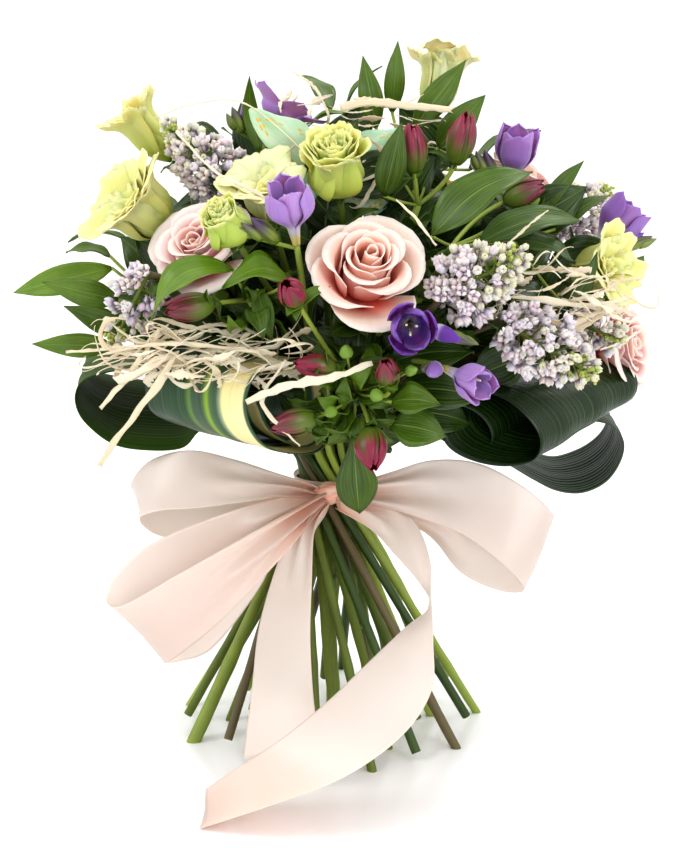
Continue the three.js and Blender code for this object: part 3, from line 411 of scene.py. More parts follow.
def frames(route):
    """The directions across, over and along a route at each of its places, without twist."""
    forward = unit(np.gradient(route, axis=0))
    across = [unit(np.cross(forward[0], [0.3, 0.9, 0.2]))]
    for ahead in forward[1:]:
        last = across[-1]
        across.append(unit(last - ahead * last.dot(ahead)))
    across = np.array(across)
    return across, np.cross(forward, across), forward


def wander(x, y, dice, pitch):
    """A smooth random height over x and y, mostly between -1 and 1."""
    total = 0
    for _ in range(5):
        heading, phase = dice.uniform(0, math.tau), dice.uniform(0, math.tau)
        pace = pitch * dice.uniform(0.5, 1.3)
        total = total + np.sin(pace * (math.cos(heading) * x + math.sin(heading) * y) + phase)
    return total / 2.6


def hump(share, peak):
    return np.sin(math.pi * np.clip(share, 0, 1) ** (math.log(0.5) / math.log(peak)))


# Modelling: primitives that are shaped, given a thickness, joined and put in place

def deselect():
    for other in bpy.context.selected_objects:
        other.select_set(False)


def corners(piece):
    flat = np.empty(len(piece.data.vertices) * 3)
    piece.data.vertices.foreach_get("co", flat)
    return flat.reshape(-1, 3)


def shape(piece, places, tone, finish):
    """Puts a primitive's corners in their places, with a tone for its finish."""
    piece.data.vertices.foreach_set("co", np.asarray(places, float).ravel())
    toned = piece.data.attributes.new("tone", "FLOAT", "POINT")
    toned.data.foreach_set("value", np.broadcast_to(tone, len(places)).astype(np.float32))
    piece.data.materials.append(finish)
    piece.data.polygons.foreach_set("use_smooth", [True] * len(piece.data.polygons))
    piece.data.update()
    return piece


def blade(columns, rows, place, finish, tone=0.0):
    """A thin blade from a flat grid, placed by its share of the length and by -1 to 1 across."""
    deselect()
    bpy.ops.mesh.primitive_grid_add(x_subdivisions=columns, y_subdivisions=rows, size=2)
    piece = bpy.context.object
    flat = corners(piece)
    u, v = (flat[:, 1] + 1) / 2, flat[:, 0]
    return shape(piece, place(u, v), tone(u, v) if callable(tone) else tone, finish)


def ball(sides, rings, place, finish, tone=0.0):
    """A closed form from a round ball, placed by its share from end to end and its angle around."""
    deselect()
    bpy.ops.mesh.primitive_uv_sphere_add(segments=sides, ring_count=rings, radius=1)
    piece = bpy.context.object
    around = corners(piece)
    u = np.arccos(np.clip(-around[:, 2], -1, 1)) / math.pi
    angle = np.arctan2(around[:, 1], around[:, 0])
    return shape(piece, place(u, angle), tone(u, angle) if callable(tone) else tone, finish)


def tube(route, radii, finish, sides=8, tone=0.0, level_foot=False, cut=0.0):
    """A closed tube along a route. A level foot is cut flat on the floor, and a cut end shows its pith."""
    across, over, forward = frames(route)
    radii = np.broadcast_to(radii, len(route))
    last = len(route) - 1

    def station(u):
        return np.rint(u * (last + 2)).astype(int) - 1

    def place(u, angle):
        at = station(u)
        reach = np.where((at < 0) | (at > last), 0, radii[np.clip(at, 0, last)])
        at = np.clip(at, 0, last)
        ring = across[at] * (reach * np.cos(angle))[:, None] + over[at] * (reach * np.sin(angle))[:, None]
        places = route[at] + ring
        if level_foot:
            low = at == 0
            places[low] -= forward[0] * ((places[low, 2] / forward[0, 2])[:, None])
            places[:, 2] = np.maximum(places[:, 2], 0)
        return places

    def toned(u, angle):
        return np.where((station(u) < 1) & (cut > 0), cut, tone)

    return ball(sides, last + 2, place, finish, toned)


def join(pieces):
    deselect()
    for piece in pieces:
        piece.select_set(True)
    bpy.context.view_layer.objects.active = pieces[0]
    if len(pieces) > 1:
        bpy.ops.object.join()
    return bpy.context.object


def modify(piece, kind, **settings):
    """Adds a modifier and applies it."""
    deselect()
    piece.select_set(True)
    bpy.context.view_layer.objects.active = piece
    modifier = piece.modifiers.new(kind, kind)
    for name, value in settings.items():
        setattr(modifier, name, value)
    bpy.ops.object.modifier_apply(modifier=modifier.name)
    return piece


def thicken(blades, thickness):
    return modify(join(blades), "SOLIDIFY", thickness=thickness, offset=0, use_even_offset=False)


def stand(piece, at, facing, spin=0.0, size=1.0):
    """Moves a piece made along +Z so that it stands at a place and faces a direction."""
    z = unit(facing)
    x = np.array([1.0, 0, 0]) if abs(z[2]) > 0.98 else unit(np.cross([0, 0, 1], z))
    y = unit(np.cross(z, x))
    x = np.cross(y, z)
    turned = np.array([x, y, z]).T @ np.array([
        [math.cos(spin), -math.sin(spin), 0],
        [math.sin(spin), math.cos(spin), 0],
        [0, 0, 1],
    ])
    places = corners(piece) * size @ turned.T + at
    piece.data.vertices.foreach_set("co", places.ravel())
    piece.data.update()
    return piece


def copy_of(model):
    """A copy with its own mesh."""
    made = bpy.data.objects.new(model.name, model.data.copy())
    bpy.context.collection.objects.link(made)
    return made


def put_away(*models):
    for model in models:
        bpy.data.objects.remove(model)


def keep(piece, name, slot, *nodes):
    """Names a finished piece, puts it into metres, hangs it from the root and hides the parts that it stands
    for.
    """
    piece.name = name
    piece.data.name = name
    piece.data.transform(Matrix.Scale(MM, 4))
    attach(piece, "root")
    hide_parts(*nodes)
    return piece


# Finishes

def colour(code):
    """A colour in linear light from its usual six digits."""
    parts = [int(code[i:i + 2], 16) / 255 for i in (1, 3, 5)]
    return tuple(p / 12.92 if p <= 0.04045 else ((p + 0.055) / 1.055) ** 2.4 for p in parts) + (1.0,)


class Wire:
    """A value in a finish; sums and products of wires add the nodes that work them out."""

    def __init__(self, finish, socket):
        self.finish = finish
        self.socket = socket

    def __add__(self, other):
        return self.finish.maths("ADD", self, other)

    def __sub__(self, other):
        return self.finish.maths("SUBTRACT", self, other)

    def __rsub__(self, other):
        return self.finish.maths("SUBTRACT", other, self)

    def __mul__(self, other):
        return self.finish.maths("MULTIPLY", self, other)

    def __pow__(self, other):
        return self.finish.maths("POWER", self, other)

    __radd__ = __add__
    __rmul__ = __mul__

    def wave(self):
        return self.finish.maths("SINE", self)

    def size(self):
        return self.finish.maths("ABSOLUTE", self)

    def between(self, low, high):
        """0 below low, 1 above high and smooth between them."""
        ends = {"From Min": low, "From Max": high}
        return self.finish.node("ShaderNodeMapRange", {"interpolation_type": "SMOOTHSTEP"},
                                {"Value": self, **ends})


class Finish:
    """A material whose colour, gloss and relief are worked out from wires."""

    def __init__(self, name, **fixed):
        self.material = bpy.data.materials.new(name)
        self.material.use_nodes = True
        self.tree = self.material.node_tree
        self.shader = self.tree.nodes["Principled BSDF"]
        for socket, value in fixed.items():
            self.shader.inputs[socket.replace("_", " ")].default_value = value
        where = self.tree.nodes.new("ShaderNodeTexCoord")
        parts = self.node("ShaderNodeSeparateXYZ", {}, {"Vector": Wire(self, where.outputs["UV"])})
        self.place = Wire(self, where.outputs["Object"])
        self.across = parts
        self.along = Wire(self, parts.socket.node.outputs["Y"])
        tone = self.node("ShaderNodeAttribute", {"attribute_name": "tone"}, {})
        self.tone = Wire(self, tone.socket.node.outputs["Fac"])

    def feed(self, socket, value):
        if isinstance(value, Wire):
            self.tree.links.new(value.socket, socket)
        else:
            socket.default_value = value

    def node(self, kind, settings, inputs, output=0):
        made = self.tree.nodes.new(kind)
        for name, value in settings.items():
            setattr(made, name, value)
        for name, value in inputs.items():
            self.feed(made.inputs[name], value)
        return Wire(self, made.outputs[output])

    def maths(self, operation, *values):
        return self.node("ShaderNodeMath", {"operation": operation}, dict(enumerate(values)))

    def blend(self, share, one, other):
        settings = {"data_type": "RGBA", "clamp_factor": True}
        return self.node("ShaderNodeMix", settings, {0: share, 6: one, 7: other}, 2)

    def speckle(self, scale, detail=2.0, where=None):
        inputs = {"Vector": where or self.place, "Scale": scale, "Detail": detail}
        return self.node("ShaderNodeTexNoise", {}, inputs)

    def stretched(self, across, along):
        """The blade's own place, drawn out so that a speckle on it becomes streaks."""
        made = self.node("ShaderNodeCombineXYZ", {}, {"X": self.across * across, "Y": self.along * along})
        return self.node("ShaderNodeVectorMath", {"operation": "ADD"},
                         {0: made, 1: self.node("ShaderNodeCombineXYZ", {}, {"Z": self.tone * 7})})

    def finish(self, base, roughness=None, relief=None, depth=0.0002, strength=0.5):
        self.feed(self.shader.inputs["Base Color"], base)
        if roughness is not None:
            self.feed(self.shader.inputs["Roughness"], roughness)
        if relief is not None:
            inputs = {"Height": relief, "Distance": depth, "Strength": strength}
            self.feed(self.shader.inputs["Normal"], self.node("ShaderNodeBump", {}, inputs))
        return self.material


PETAL = dict(Subsurface_Weight=0.35, Subsurface_Radius=(1.0, 0.45, 0.3), Subsurface_Scale=0.0035,
             Specular_IOR_Level=0.25, Sheen_Weight=0.15, Sheen_Roughness=0.4)


def rose_finish(name, shaded, outer, middle, heart, root):
    """Palest outside, pinker within and warm at the heart and the roots, with creamy rims. The warm heart
    and roots are partly the rose's own colour and partly painted shade deep in the cup.
    """
    f = Finish(name, **PETAL)
    veins = f.speckle(1.0, 2, f.stretched(38, 1.4))
    blotches = f.speckle(70.0, 2)
    outside = f.blend(blotches, colour(shaded), colour(outer))
    body = f.blend(f.tone.between(0.0, 0.4), outside, colour(middle))
    # the warm heart and roots: partly the rose's own colour, partly painted shade deep in the cup
    warm = f.blend(f.tone.between(0.4, 1.0), body, colour(heart))
    rooted = f.blend(f.along.between(0.85, 0.3), warm, colour(root))
    rim = f.blend(f.along.between(0.88, 0.99) * 0.8, rooted, colour("#F1E2D8"))
    base = f.blend(veins.between(0.4, 0.8) * 0.12, rim, colour("#DEA698"))
    return f.finish(base, 0.5 + veins * 0.15, veins, 0.00018, 0.35)


def lisianthus_finish():
    """Pale lemon with a lime root, and lime all over where the flower is young."""
    f = Finish("lisianthus_petal", **PETAL)
    veins = f.speckle(1.0, 2, f.stretched(30, 1.8))
    lemon = f.blend(f.tone.between(0.02, 0.3), colour("#E6E1B4"), colour("#D8D384"))
    young = f.blend(f.tone.between(0.3, 1.0), lemon, colour("#B8C862"))
    rooted = f.blend(f.along.between(0.75, 0.1), young, colour("#A3AF3C"))
    rim = f.blend(f.along.between(0.84, 1.0) * 0.7, rooted, colour("#EDE8AE"))
    base = f.blend(veins.between(0.4, 0.8) * 0.2, rim, colour("#C6C460"))
    return f.finish(base, 0.55 + veins * 0.1, veins, 0.0003, 0.45)


def freesia_finish():
    """Violet with darker veins, its tube white and then yellow-green."""
    f = Finish("freesia_petal", **PETAL)
    veins = f.speckle(1.0, 2, f.stretched(34, 1.5))
    violet = f.blend(f.tone, colour("#B090CC"), colour("#602E98"))
    rich = f.blend(veins.between(0.45, 0.75) * 0.3, violet, colour("#8050AE"))
    pale = f.blend(f.along.between(0.5, 0.3), rich, colour("#D4C8DE"))
    base = f.blend(f.along.between(0.3, 0.1), pale, colour("#DEC878"))
    return f.finish(base, 0.42 + veins * 0.12, veins, 0.00015, 0.3)


def freesia_bud_finish():
    """Green buds with a smoky violet tip."""
    f = Finish("freesia_bud", Subsurface_Weight=0.15, Subsurface_Scale=0.003)
    veins = f.speckle(1.0, 2, f.stretched(16, 1.2))
    green = f.blend(veins.between(0.35, 0.7), colour("#8B9C4A"), colour("#5F6F30"))
    base = f.blend((f.along + veins * 0.2).between(0.45, 0.9) * f.tone, green, colour("#54405E"))
    return f.finish(base, 0.4, veins, 0.0002, 0.3)


def alstroemeria_finish():
    """Crimson buds with green-brown streaks and an olive foot."""
    f = Finish("alstroemeria_bud", Subsurface_Weight=0.12, Subsurface_Scale=0.003)
    veins = f.speckle(1.0, 2, f.stretched(22, 1.6))
    patches = f.speckle(130.0, 2)
    red = f.blend((f.tone + patches * 0.5 - 0.25).between(0.0, 1.0), colour("#7E3844"), colour("#8A083A"))
    streaked = f.blend(veins.between(0.45, 0.7) * 0.75, red, colour("#3E1620"))
    middle = (f.across - 0.5).size().between(0.2, 0.02) * f.along.between(0.98, 0.5)
    striped = f.blend(middle * 0.85, streaked, colour("#3E4C18"))
    base = f.blend((f.along + veins * 0.3 + f.tone * 0.2).between(0.95, 0.42), striped, colour("#5E7226"))
    return f.finish(base, 0.36, veins, 0.0002, 0.4)


def leaf_finish():
    """Green with veins that run from root to tip and a paler rib."""
    f = Finish("leaf", Subsurface_Weight=0.06, Subsurface_Scale=0.002, Specular_IOR_Level=0.45)
    mottle = f.speckle(60.0, 3)
    streaks = f.speckle(1.0, 2, f.stretched(26, 1.3))
    veins = ((f.across - 0.5).size() ** 0.8 * 70).wave().between(0.3, 1.0)
    dark = f.blend(mottle, colour("#102607"), colour("#20400B"))
    light = f.blend(mottle, colour("#44680E"), colour("#7C9C22"))
    # a leaf's tone sets how light its green is; the low tones of leaves deep in the head are painted shade
    green = f.blend(f.tone + (streaks - 0.5) * 0.9, dark, light)
    veined = f.blend(veins * 0.1, green, colour("#86A23A"))
    rib = (f.across - 0.5).size().between(0.035, 0.0)
    base = f.blend(rib * 0.3, veined, colour("#9DB95A"))
    relief = veins * 0.5 + streaks * 0.5 + rib
    return f.finish(base, 0.24 + mottle * 0.2, relief, 0.0003, 0.5)


def aspidistra_finish(name, shadow, light, vein, gloss, rough):
    """Plain green, with fine veins along it that catch the light."""
    f = Finish(name, Specular_IOR_Level=gloss)
    streaks = f.speckle(1.0, 3, f.stretched(90, 0.8))
    broad = f.speckle(1.0, 2, f.stretched(12, 0.6))
    dark = f.blend(broad, colour(shadow), colour(light))
    veins = (f.across * 150 + streaks * 6).wave().between(0.7, 1.0)
    streaked = f.blend(streaks.between(0.5, 0.8) * 0.25, dark, colour(vein))
    base = f.blend(veins * 0.2, streaked, colour(vein))
    return f.finish(base, rough + streaks * 0.24, streaks + broad * 0.8, 0.0006, 0.7)


def ribbed_aspidistra_finish():
    """The old leaf at the back, with broad pale-grey ribs between dark furrows."""
    f = Finish("ribbed_aspidistra", Specular_IOR_Level=0.25)
    streaks = f.speckle(1.0, 3, f.stretched(60, 0.8))
    ribs = (f.across * 110 + streaks * 2.4).wave()
    dark = f.blend(streaks, colour("#10290D"), colour("#27451F"))
    base = f.blend(ribs.between(0.2, 1.0) * 0.45, dark, colour("#71846A"))
    return f.finish(base, 0.35 + streaks * 0.15, ribs * 0.5, 0.0008, 0.7)


VARIEGATED_STOPS = (
    (0.0, "#17391B"), (0.38, "#214725"), (0.43, "#5F8232"), (0.46, "#3A573D"), (0.56, "#2A492E"),
    (0.61, "#86A82C"), (0.64, "#48673A"), (0.7, "#335138"), (0.735, "#8C9F7E"), (0.765, "#EDE0A0"),
    (0.945, "#F0E4AA"), (0.962, "#D9D69A"), (0.975, "#3B5A44"), (1.0, "#2F4F37"),
)


def variegated_finish():
    """Lengthwise bands of dark green, lime, grey-green and a wide cream one."""
    f = Finish("variegated_leaf", Specular_IOR_Level=0.45)
    streaks = f.speckle(1.0, 3, f.stretched(110, 0.7))
    broad = f.speckle(1.0, 1, f.stretched(7, 0.9))
    ramp = f.tree.nodes.new("ShaderNodeValToRGB")
    stops = ramp.color_ramp.elements
    while len(stops) < len(VARIEGATED_STOPS):
        stops.new(0.5)
    for stop, (position, code) in zip(stops, VARIEGATED_STOPS):
        stop.position = position
        stop.color = colour(code)
    f.feed(ramp.inputs[0], f.across + (streaks - 0.5) * 0.02 + (broad - 0.5) * 0.03)
    base = f.blend(streaks.between(0.5, 0.8) * 0.3, Wire(f, ramp.outputs[0]), colour("#8FA094"))
    return f.finish(base, 0.28 + streaks * 0.2, streaks, 0.0003, 0.5)


def stem_finish(name, shadow, light, pith):
    """A stem with long streaks, and its pith at the cut."""
    f = Finish(name, Specular_IOR_Level=0.45)
    mottle = f.speckle(90.0, 4)
    streaks = f.speckle(1.0, 2, f.stretched(14, 3))
    skin = f.blend(mottle * 0.5 + streaks * 0.5, colour(shadow), colour(light))
    toned = f.blend(f.tone.between(0.0, 0.9), skin, colour(light))
    base = f.blend(f.tone.between(0.95, 1.0), toned, colour(pith))
    return f.finish(base, 0.38 + mottle * 0.2, streaks + mottle * 0.5, 0.0003, 0.5)


def lilac_finish():
    """White-mauve florets, a little darker on their tubes."""
    f = Finish("lilac_floret", **PETAL)
    mottle = f.speckle(240.0, 2)
    head = f.blend(mottle.between(0.3, 0.7), colour("#EBE1E8"), colour("#CFBED0"))
    tinted = f.blend(f.tone, head, colour("#DAD4A4"))
    base = f.blend(f.along.between(0.5, 0.1), tinted, colour("#9884A4"))
    return f.finish(base, 0.55, mottle, 0.0002, 0.3)


def plain_plant_finish(name, one, other, scale, roughness=0.5, **fixed):
    f = Finish(name, **fixed)
    mottle = f.speckle(scale, 3)
    base = f.blend(mottle, colour(one), colour(other))
    return f.finish(base, roughness + mottle * 0.1, mottle, 0.0002, 0.4)


def straw_finish():
    """Dry fibre with long darker threads."""
    f = Finish("straw", Subsurface_Weight=0.2, Subsurface_Scale=0.002, Specular_IOR_Level=0.3)
    threads = f.speckle(1.0, 3, f.stretched(9, 5))
    pale = f.blend(f.tone, colour("#E9DFCB"), colour("#D6C39E"))
    base = f.blend(threads.between(0.5, 0.8) * 0.35, pale, colour("#B39C74"))
    return f.finish(base, 0.65, threads, 0.0003, 0.7)


# Where the yellow dots lie: across the wing and out from its root
WING_DOTS = (
    (0.36, 0.86), (0.41, 0.89), (0.4, 0.81), (0.34, 0.8), (0.45, 0.85), (0.6, 0.84), (0.65, 0.8),
    (0.59, 0.77), (0.54, 0.81), (0.8, 0.78), (0.86, 0.74), (0.79, 0.7), (0.84, 0.66), (0.9, 0.8),
)


def wing_finish():
    """Sheer mint with pale veins and small groups of yellow dots."""
    f = Finish("butterfly_wing", Subsurface_Weight=0.3, Subsurface_Scale=0.004, Roughness=0.5, Alpha=0.86)
    mottle = f.speckle(50.0, 2)
    clouds = f.speckle(1.0, 2, f.stretched(4, 2))
    veins = (f.across * 34 + clouds * 1.5).wave().size().between(0.14, 0.0)
    mint = f.blend(clouds.between(0.3, 0.7), colour("#D2E6CE"), colour("#ACDAB4"))
    veined = f.blend(veins * 0.4 + mottle * 0.1, mint, colour("#9AD8A6"))
    dots = 0.0
    for x, y in WING_DOTS:
        off = (f.across - x) * (f.across - x) + (f.along - y) * (f.along - y)
        dots = off.between(0.0005, 0.0003) + dots
    return f.finish(f.blend(dots, veined, colour("#F4BC2C")), None, mottle + veins, 0.0002, 0.4)


def satin_finish():
    """Pale peach satin with woven edges. Painted shade makes it deeper coral in the pleats by the knot and
    in the knot's folds, and greyer along the middle of the right tail; it also deepens towards the tails'
    ends.
    """
    f = Finish("satin_ribbon", Subsurface_Weight=0.6, Subsurface_Scale=0.006, Specular_IOR_Level=0.6,
               Subsurface_Radius=(1.0, 0.8, 0.7), Sheen_Weight=0.15, Sheen_Roughness=0.3, Anisotropic=0.5)
    weave = f.speckle(1.0, 1, f.stretched(260, 30))
    soft = f.speckle(22.0, 2)
    pale = f.blend(soft, colour("#EFD8CC"), colour("#EACCBD"))
    # painted shade: a tone below zero turns the satin greyer, along the middle of the right tail
    painted_grey_shade = f.blend(f.tone.between(0.0, -1.0), pale, colour("#CDBAB0"))
    # painted shade: a higher tone turns the satin deeper coral, as in the pleats by the knot and the knot's
    # folds
    painted_coral_shade = f.blend(f.tone, painted_grey_shade, colour("#EEA88C"))
    edge = (f.across - 0.5).size().between(0.485, 0.497)
    base = f.blend(edge * 0.5, painted_coral_shade, colour("#DDB09A"))
    return f.finish(base, 0.27 + weave * 0.1, weave + soft * 2.0, 0.00012, 0.35)


ROSE = rose_finish("rose_petal", "#E6CCBC", "#EACCC0", "#EFBCAE", "#EEA28C", "#DC6450")
PALE_ROSE = rose_finish("pale_rose_petal", "#F0DCD8", "#F1D8D6", "#F2C6C4", "#EFACA8", "#E48E86")
LEMON = lisianthus_finish()
VIOLET = freesia_finish()
FREESIA_BUD = freesia_bud_finish()
CRIMSON = alstroemeria_finish()
LEAF = leaf_finish()
DARK_LEAF = aspidistra_finish("aspidistra", "#0A1C05", "#18320C", "#56743A", 0.38, 0.1)
GREEN_LEAF = aspidistra_finish("green_aspidistra", "#28430D", "#395617", "#8EA458", 0.12, 0.45)
DULL_LEAF = aspidistra_finish("dull_aspidistra", "#10260A", "#24401A", "#56743A", 0.08, 0.5)
RIBBED_LEAF = ribbed_aspidistra_finish()
VARIEGATED = variegated_finish()
GREEN_STEM = stem_finish("green_stem", "#2C3E10", "#748630", "#CAD494")
FRESH_STEM = stem_finish("fresh_stem", "#465E1C", "#9AAC4A", "#D6E0A2")
DARK_STEM = stem_finish("dark_stem", "#1E2E12", "#445E22", "#AEBC7E")
WOODY_STEM = stem_finish("woody_stem", "#3A301E", "#6C6240", "#BBAE84")
LILAC_PETAL = lilac_finish()
LILAC_BUD = plain_plant_finish("lilac_bud", "#B9C268", "#8C9A48", 300.0, Subsurface_Weight=0.15)
GREEN_BUD = plain_plant_finish("green_bud", "#7C9E3A", "#55782A", 200.0, Subsurface_Weight=0.1)
STRAW = straw_finish()
WING = wing_finish()
WIRE = plain_plant_finish("pick_wire", "#5E7A58", "#7B8F70", 200.0, 0.4)
SATIN = satin_finish()
TWINE = plain_plant_finish("twine", "#8A7648", "#5D4C2A", 900.0, 0.8)
STAMEN = plain_plant_finish("stamen", "#F2EEDC", "#D9CFA0", 400.0)


# Stems: sorted by how far they lean, the upright ones take the inner places at the tie

def neck_of(at, facing, height):
    return at - facing * height / 2


def stem_ends():
    ends = {}
    for name, at, facing, width in ROSES:
        ends[name] = (neck_of(at, facing, ROSE_HEIGHT * width / ROSE_WIDTH), facing)
    for stem in range(LISIANTHUS_STEMS):
        _, _, at, facing, _, height, _ = next(f for f in LISIANTHUS if f[1] == stem)
        ends[f"lisianthus_stem_{stem + 1}"] = (neck_of(at, facing, height), facing)
    for name, at, facing, _, _, _ in FREESIAS:
        ends[name] = (neck_of(at, facing, FREESIA_LENGTH), facing)
    for name, base, tip, _ in LILACS:
        straight = unit(base - np.array([0, 0, TIE_HEIGHT]))
        ends[name] = (base, unit(tip - base) + 2 * straight)
    for name, (fork, _, _) in SPRAYS.items():
        ends[name] = (fork, unit(fork - HEAD_CENTRE) + np.array([0, 0, 0.5]))
    for name, (azimuth, inner) in ASPIDISTRAS.items():
        out = direction(azimuth, 0)
        ends[name] = (out * inner + np.array([0, 0, LOOP_START]), out)
    return ends


def azimuth_of(end):
    return math.atan2(end[0][1], end[0][0])


def lean_of(end):
    return math.atan2(math.hypot(end[0][0], end[0][1]), end[0][2] - TIE_HEIGHT)


def place_ring(names, ends, radius, lean):
    """Gives a ring's stems their places at the tie, in the order of their flowers round the head."""
    ordered = sorted(names, key=lambda name: azimuth_of(ends[name]))
    step = math.tau / len(ordered)
    wanted = [azimuth_of(ends[name]) + SPIRAL_TURN - i * step for i, name in enumerate(ordered)]
    start = math.atan2(sum(map(math.sin, wanted)), sum(map(math.cos, wanted)))
    slope = math.tan(math.radians(lean))
    placed = {}
    for i, name in enumerate(ordered):
        angle = start + i * step
        at_tie = np.array([radius * math.cos(angle), radius * math.sin(angle), TIE_HEIGHT])
        rise = np.array([math.sin(angle) * slope, -math.cos(angle) * slope, 1.0])
        placed[name] = (at_tie, rise, 0 if lean == 0 else CUT_HEIGHTS[i % len(CUT_HEIGHTS)])
    return placed


def stem_routes():
    """The straight part of each stem from its foot, and its bend to the flower."""
    ends = stem_ends()
    upright = sorted(ends, key=lambda name: lean_of(ends[name]))
    routes, first = {}, 0
    for ring, (places, lean) in enumerate(RINGS):
        placed = place_ring(upright[first:first + places], ends, ring * RING_PITCH, lean)
        first += places
        for name, (at_tie, rise, cut) in placed.items():
            to, heading = ends[name]
            bends_at = at_tie + rise * STRAIGHT_ABOVE_TIE
            reach = np.linalg.norm(bends_at - to)
            pulls = bends_at + unit(rise) * reach * 0.4, to - unit(heading) * reach * 0.34
            foot = at_tie + rise * (cut - TIE_HEIGHT)
            straight = np.linspace(foot, bends_at, 16)[:-1]
            cut_edge = foot + rise * 0.5
            bend = bezier((bends_at, *pulls, to), 16)
            routes[name] = (np.concatenate([[foot, cut_edge], straight[1:], bend]), cut == 0)
    return routes


ROUTES = stem_routes()
FOOT_STATIONS = 16  # the stations of a route below its bend
THICK_FEET = {"aspidistra_right_back": 1.8}  # how many times thicker at the foot; others are up to 1.3


def stem(name, finish, radius, dice, tone=0.2):
    """A stem with a few swollen nodes and stubs, cut level where it stands on the floor."""
    route, on_floor = ROUTES[name]
    radii = np.full(len(route), radius)
    thicker = dice.uniform(1.0, 1.3)
    radii[:FOOT_STATIONS] *= np.linspace(THICK_FEET.get(name, thicker), 1, FOOT_STATIONS)
    tone = np.clip(tone + dice.uniform(-0.3, 0.5), 0, 0.9)
    stubs = []
    for _ in range(3):
        node = dice.randrange(4, FOOT_STATIONS - 3)
        radii[node] *= 1.13
        if dice.random() < 0.35:
            out = direction(dice.uniform(0, 360), dice.uniform(20, 60))
            ends = route[node], route[node] + out * (radii[node] + dice.uniform(2, 5))
            stubs.append(tube(bezier(ends, 4), radius * 0.55, finish, 6, tone))
    radii[0] *= 0.94
    radii[FOOT_STATIONS:] *= np.linspace(1, 0.82, len(route) - FOOT_STATIONS)
    return join([tube(route, radii, finish, 10, tone, on_floor, cut=1.0), *stubs])


# Leaves

LEAF_FOLD = 0.22
TURN_BETWEEN_LEAVES = 137.5  # degrees round a stem


def leaf(base, tip, width, dice, bow=0.12, face_to=None, tone=0.4, widest=0.42, wave=0.06, grid=LEAF_GRID):
    """A pointed leaf, bowed up, folded along its rib, with soft waves along its edges."""
    chord = tip - base
    if face_to is None:
        face_to = unit((base + tip) / 2 - HEAD_CENTRE) + np.array([0, 0, 0.6])
    side = unit(np.cross(chord, face_to))
    lift = unit(np.cross(side, chord))
    length = np.linalg.norm(chord)
    phase, twist = dice.uniform(0, math.tau), dice.uniform(-0.35, 0.35)
    curl = dice.uniform(0.0, 0.05) * length

    def place(u, v):
        rib = base + chord * u[:, None]
        rib = rib + lift * (bow * length * np.sin(math.pi * u) - curl * u**4)[:, None]
        half = (1 - u) + width / 2 * hump(u, widest)
        turn = twist * smooth_step(0.3, 1.0, u)
        waves = wave * width * np.sin(u * 11 + phase + np.sign(v)) * v**2
        out = side * np.cos(turn)[:, None] + lift * np.sin(turn)[:, None]
        up = lift * np.cos(turn)[:, None] - side * np.sin(turn)[:, None]
        return rib + out * (v * half)[:, None] + up * (v**2 * half * LEAF_FOLD + waves)[:, None]

    return blade(*grid, place, LEAF, tone)


def leafy(name, dice, count, length, width, tone, start=0.12, end=0.85):
    """Leaves that a stem carries inside the head, spread around it."""
    route, _ = ROUTES[name]
    above = route[FOOT_STATIONS:]
    made = []
    for i in range(count):
        at = along(above, np.array([start + (end - start) * (i + dice.random()) / count]))[0]
        out = unit(at - np.array([0, 0, at[2]]))
        spin = math.radians(TURN_BETWEEN_LEAVES * i + dice.uniform(-25, 25))
        around = np.array([math.cos(spin), math.sin(spin), 0])
        heading = unit(out + around * 0.75 + np.array([0, 0, dice.uniform(-0.1, 0.9)]))
        reach = length * dice.uniform(0.75, 1.2)
        tip = at + heading * reach
        # their low tones are partly painted shade inside the head
        made.append(leaf(at, tip, width * dice.uniform(0.8, 1.2), dice, 0.15, None,
                         tone + dice.uniform(-0.15, 0.15), grid=HIDDEN_LEAF_GRID))
    return made


# Roses

ROSE_PETALS = 20
GOLDEN_ANGLE = math.radians(137.508)
HEART_SHIFT = 7.0
ROLL_STARTS = 0.8  # along a petal
SEPALS = 5

# How the petals change from the heart outwards: share of the way, reach, rim height, lean and half angle in
# degrees, roll of the rim in radians, and how much the rim is rounded off to its sides
ROSE_STAGES = np.array([
    [0.0, 3.4, 30.0, -10, 120, 0.1, 0.1],
    [0.12, 6.5, 31.5, -8, 105, 0.25, 0.16],
    [0.26, 11.5, 32.0, -6, 88, 0.6, 0.22],
    [0.45, 17.5, 30.5, -2, 80, 1.2, 0.26],
    [0.62, 23.5, 28.0, 5, 72, 1.7, 0.28],
    [0.8, 31.5, 22.5, 22, 62, 1.9, 0.28],
    [1.0, 41.0, 14.0, 54, 56, 1.1, 0.3],
])


def petal_profile(lean, roll, root=0.35, starts=ROLL_STARTS):
    """How far out and how high a petal is at a share of its length. It swings up from the flower's foot,
    leans, and rolls over at its rim; its reach is 1 where it is widest and its height is 1 at the top."""
    steps = np.linspace(0, 1, 80)
    slope = root + (math.pi / 2 - lean - root) * smooth_step(0, 0.5, steps)
    slope = slope - roll * smooth_step(starts, 1, steps)
    out, up = np.cumsum(np.cos(slope)), np.cumsum(np.sin(slope))
    out, up = out / out.max(), up / up.max()
    return lambda share: (np.interp(share, steps, out), np.interp(share, steps, up))


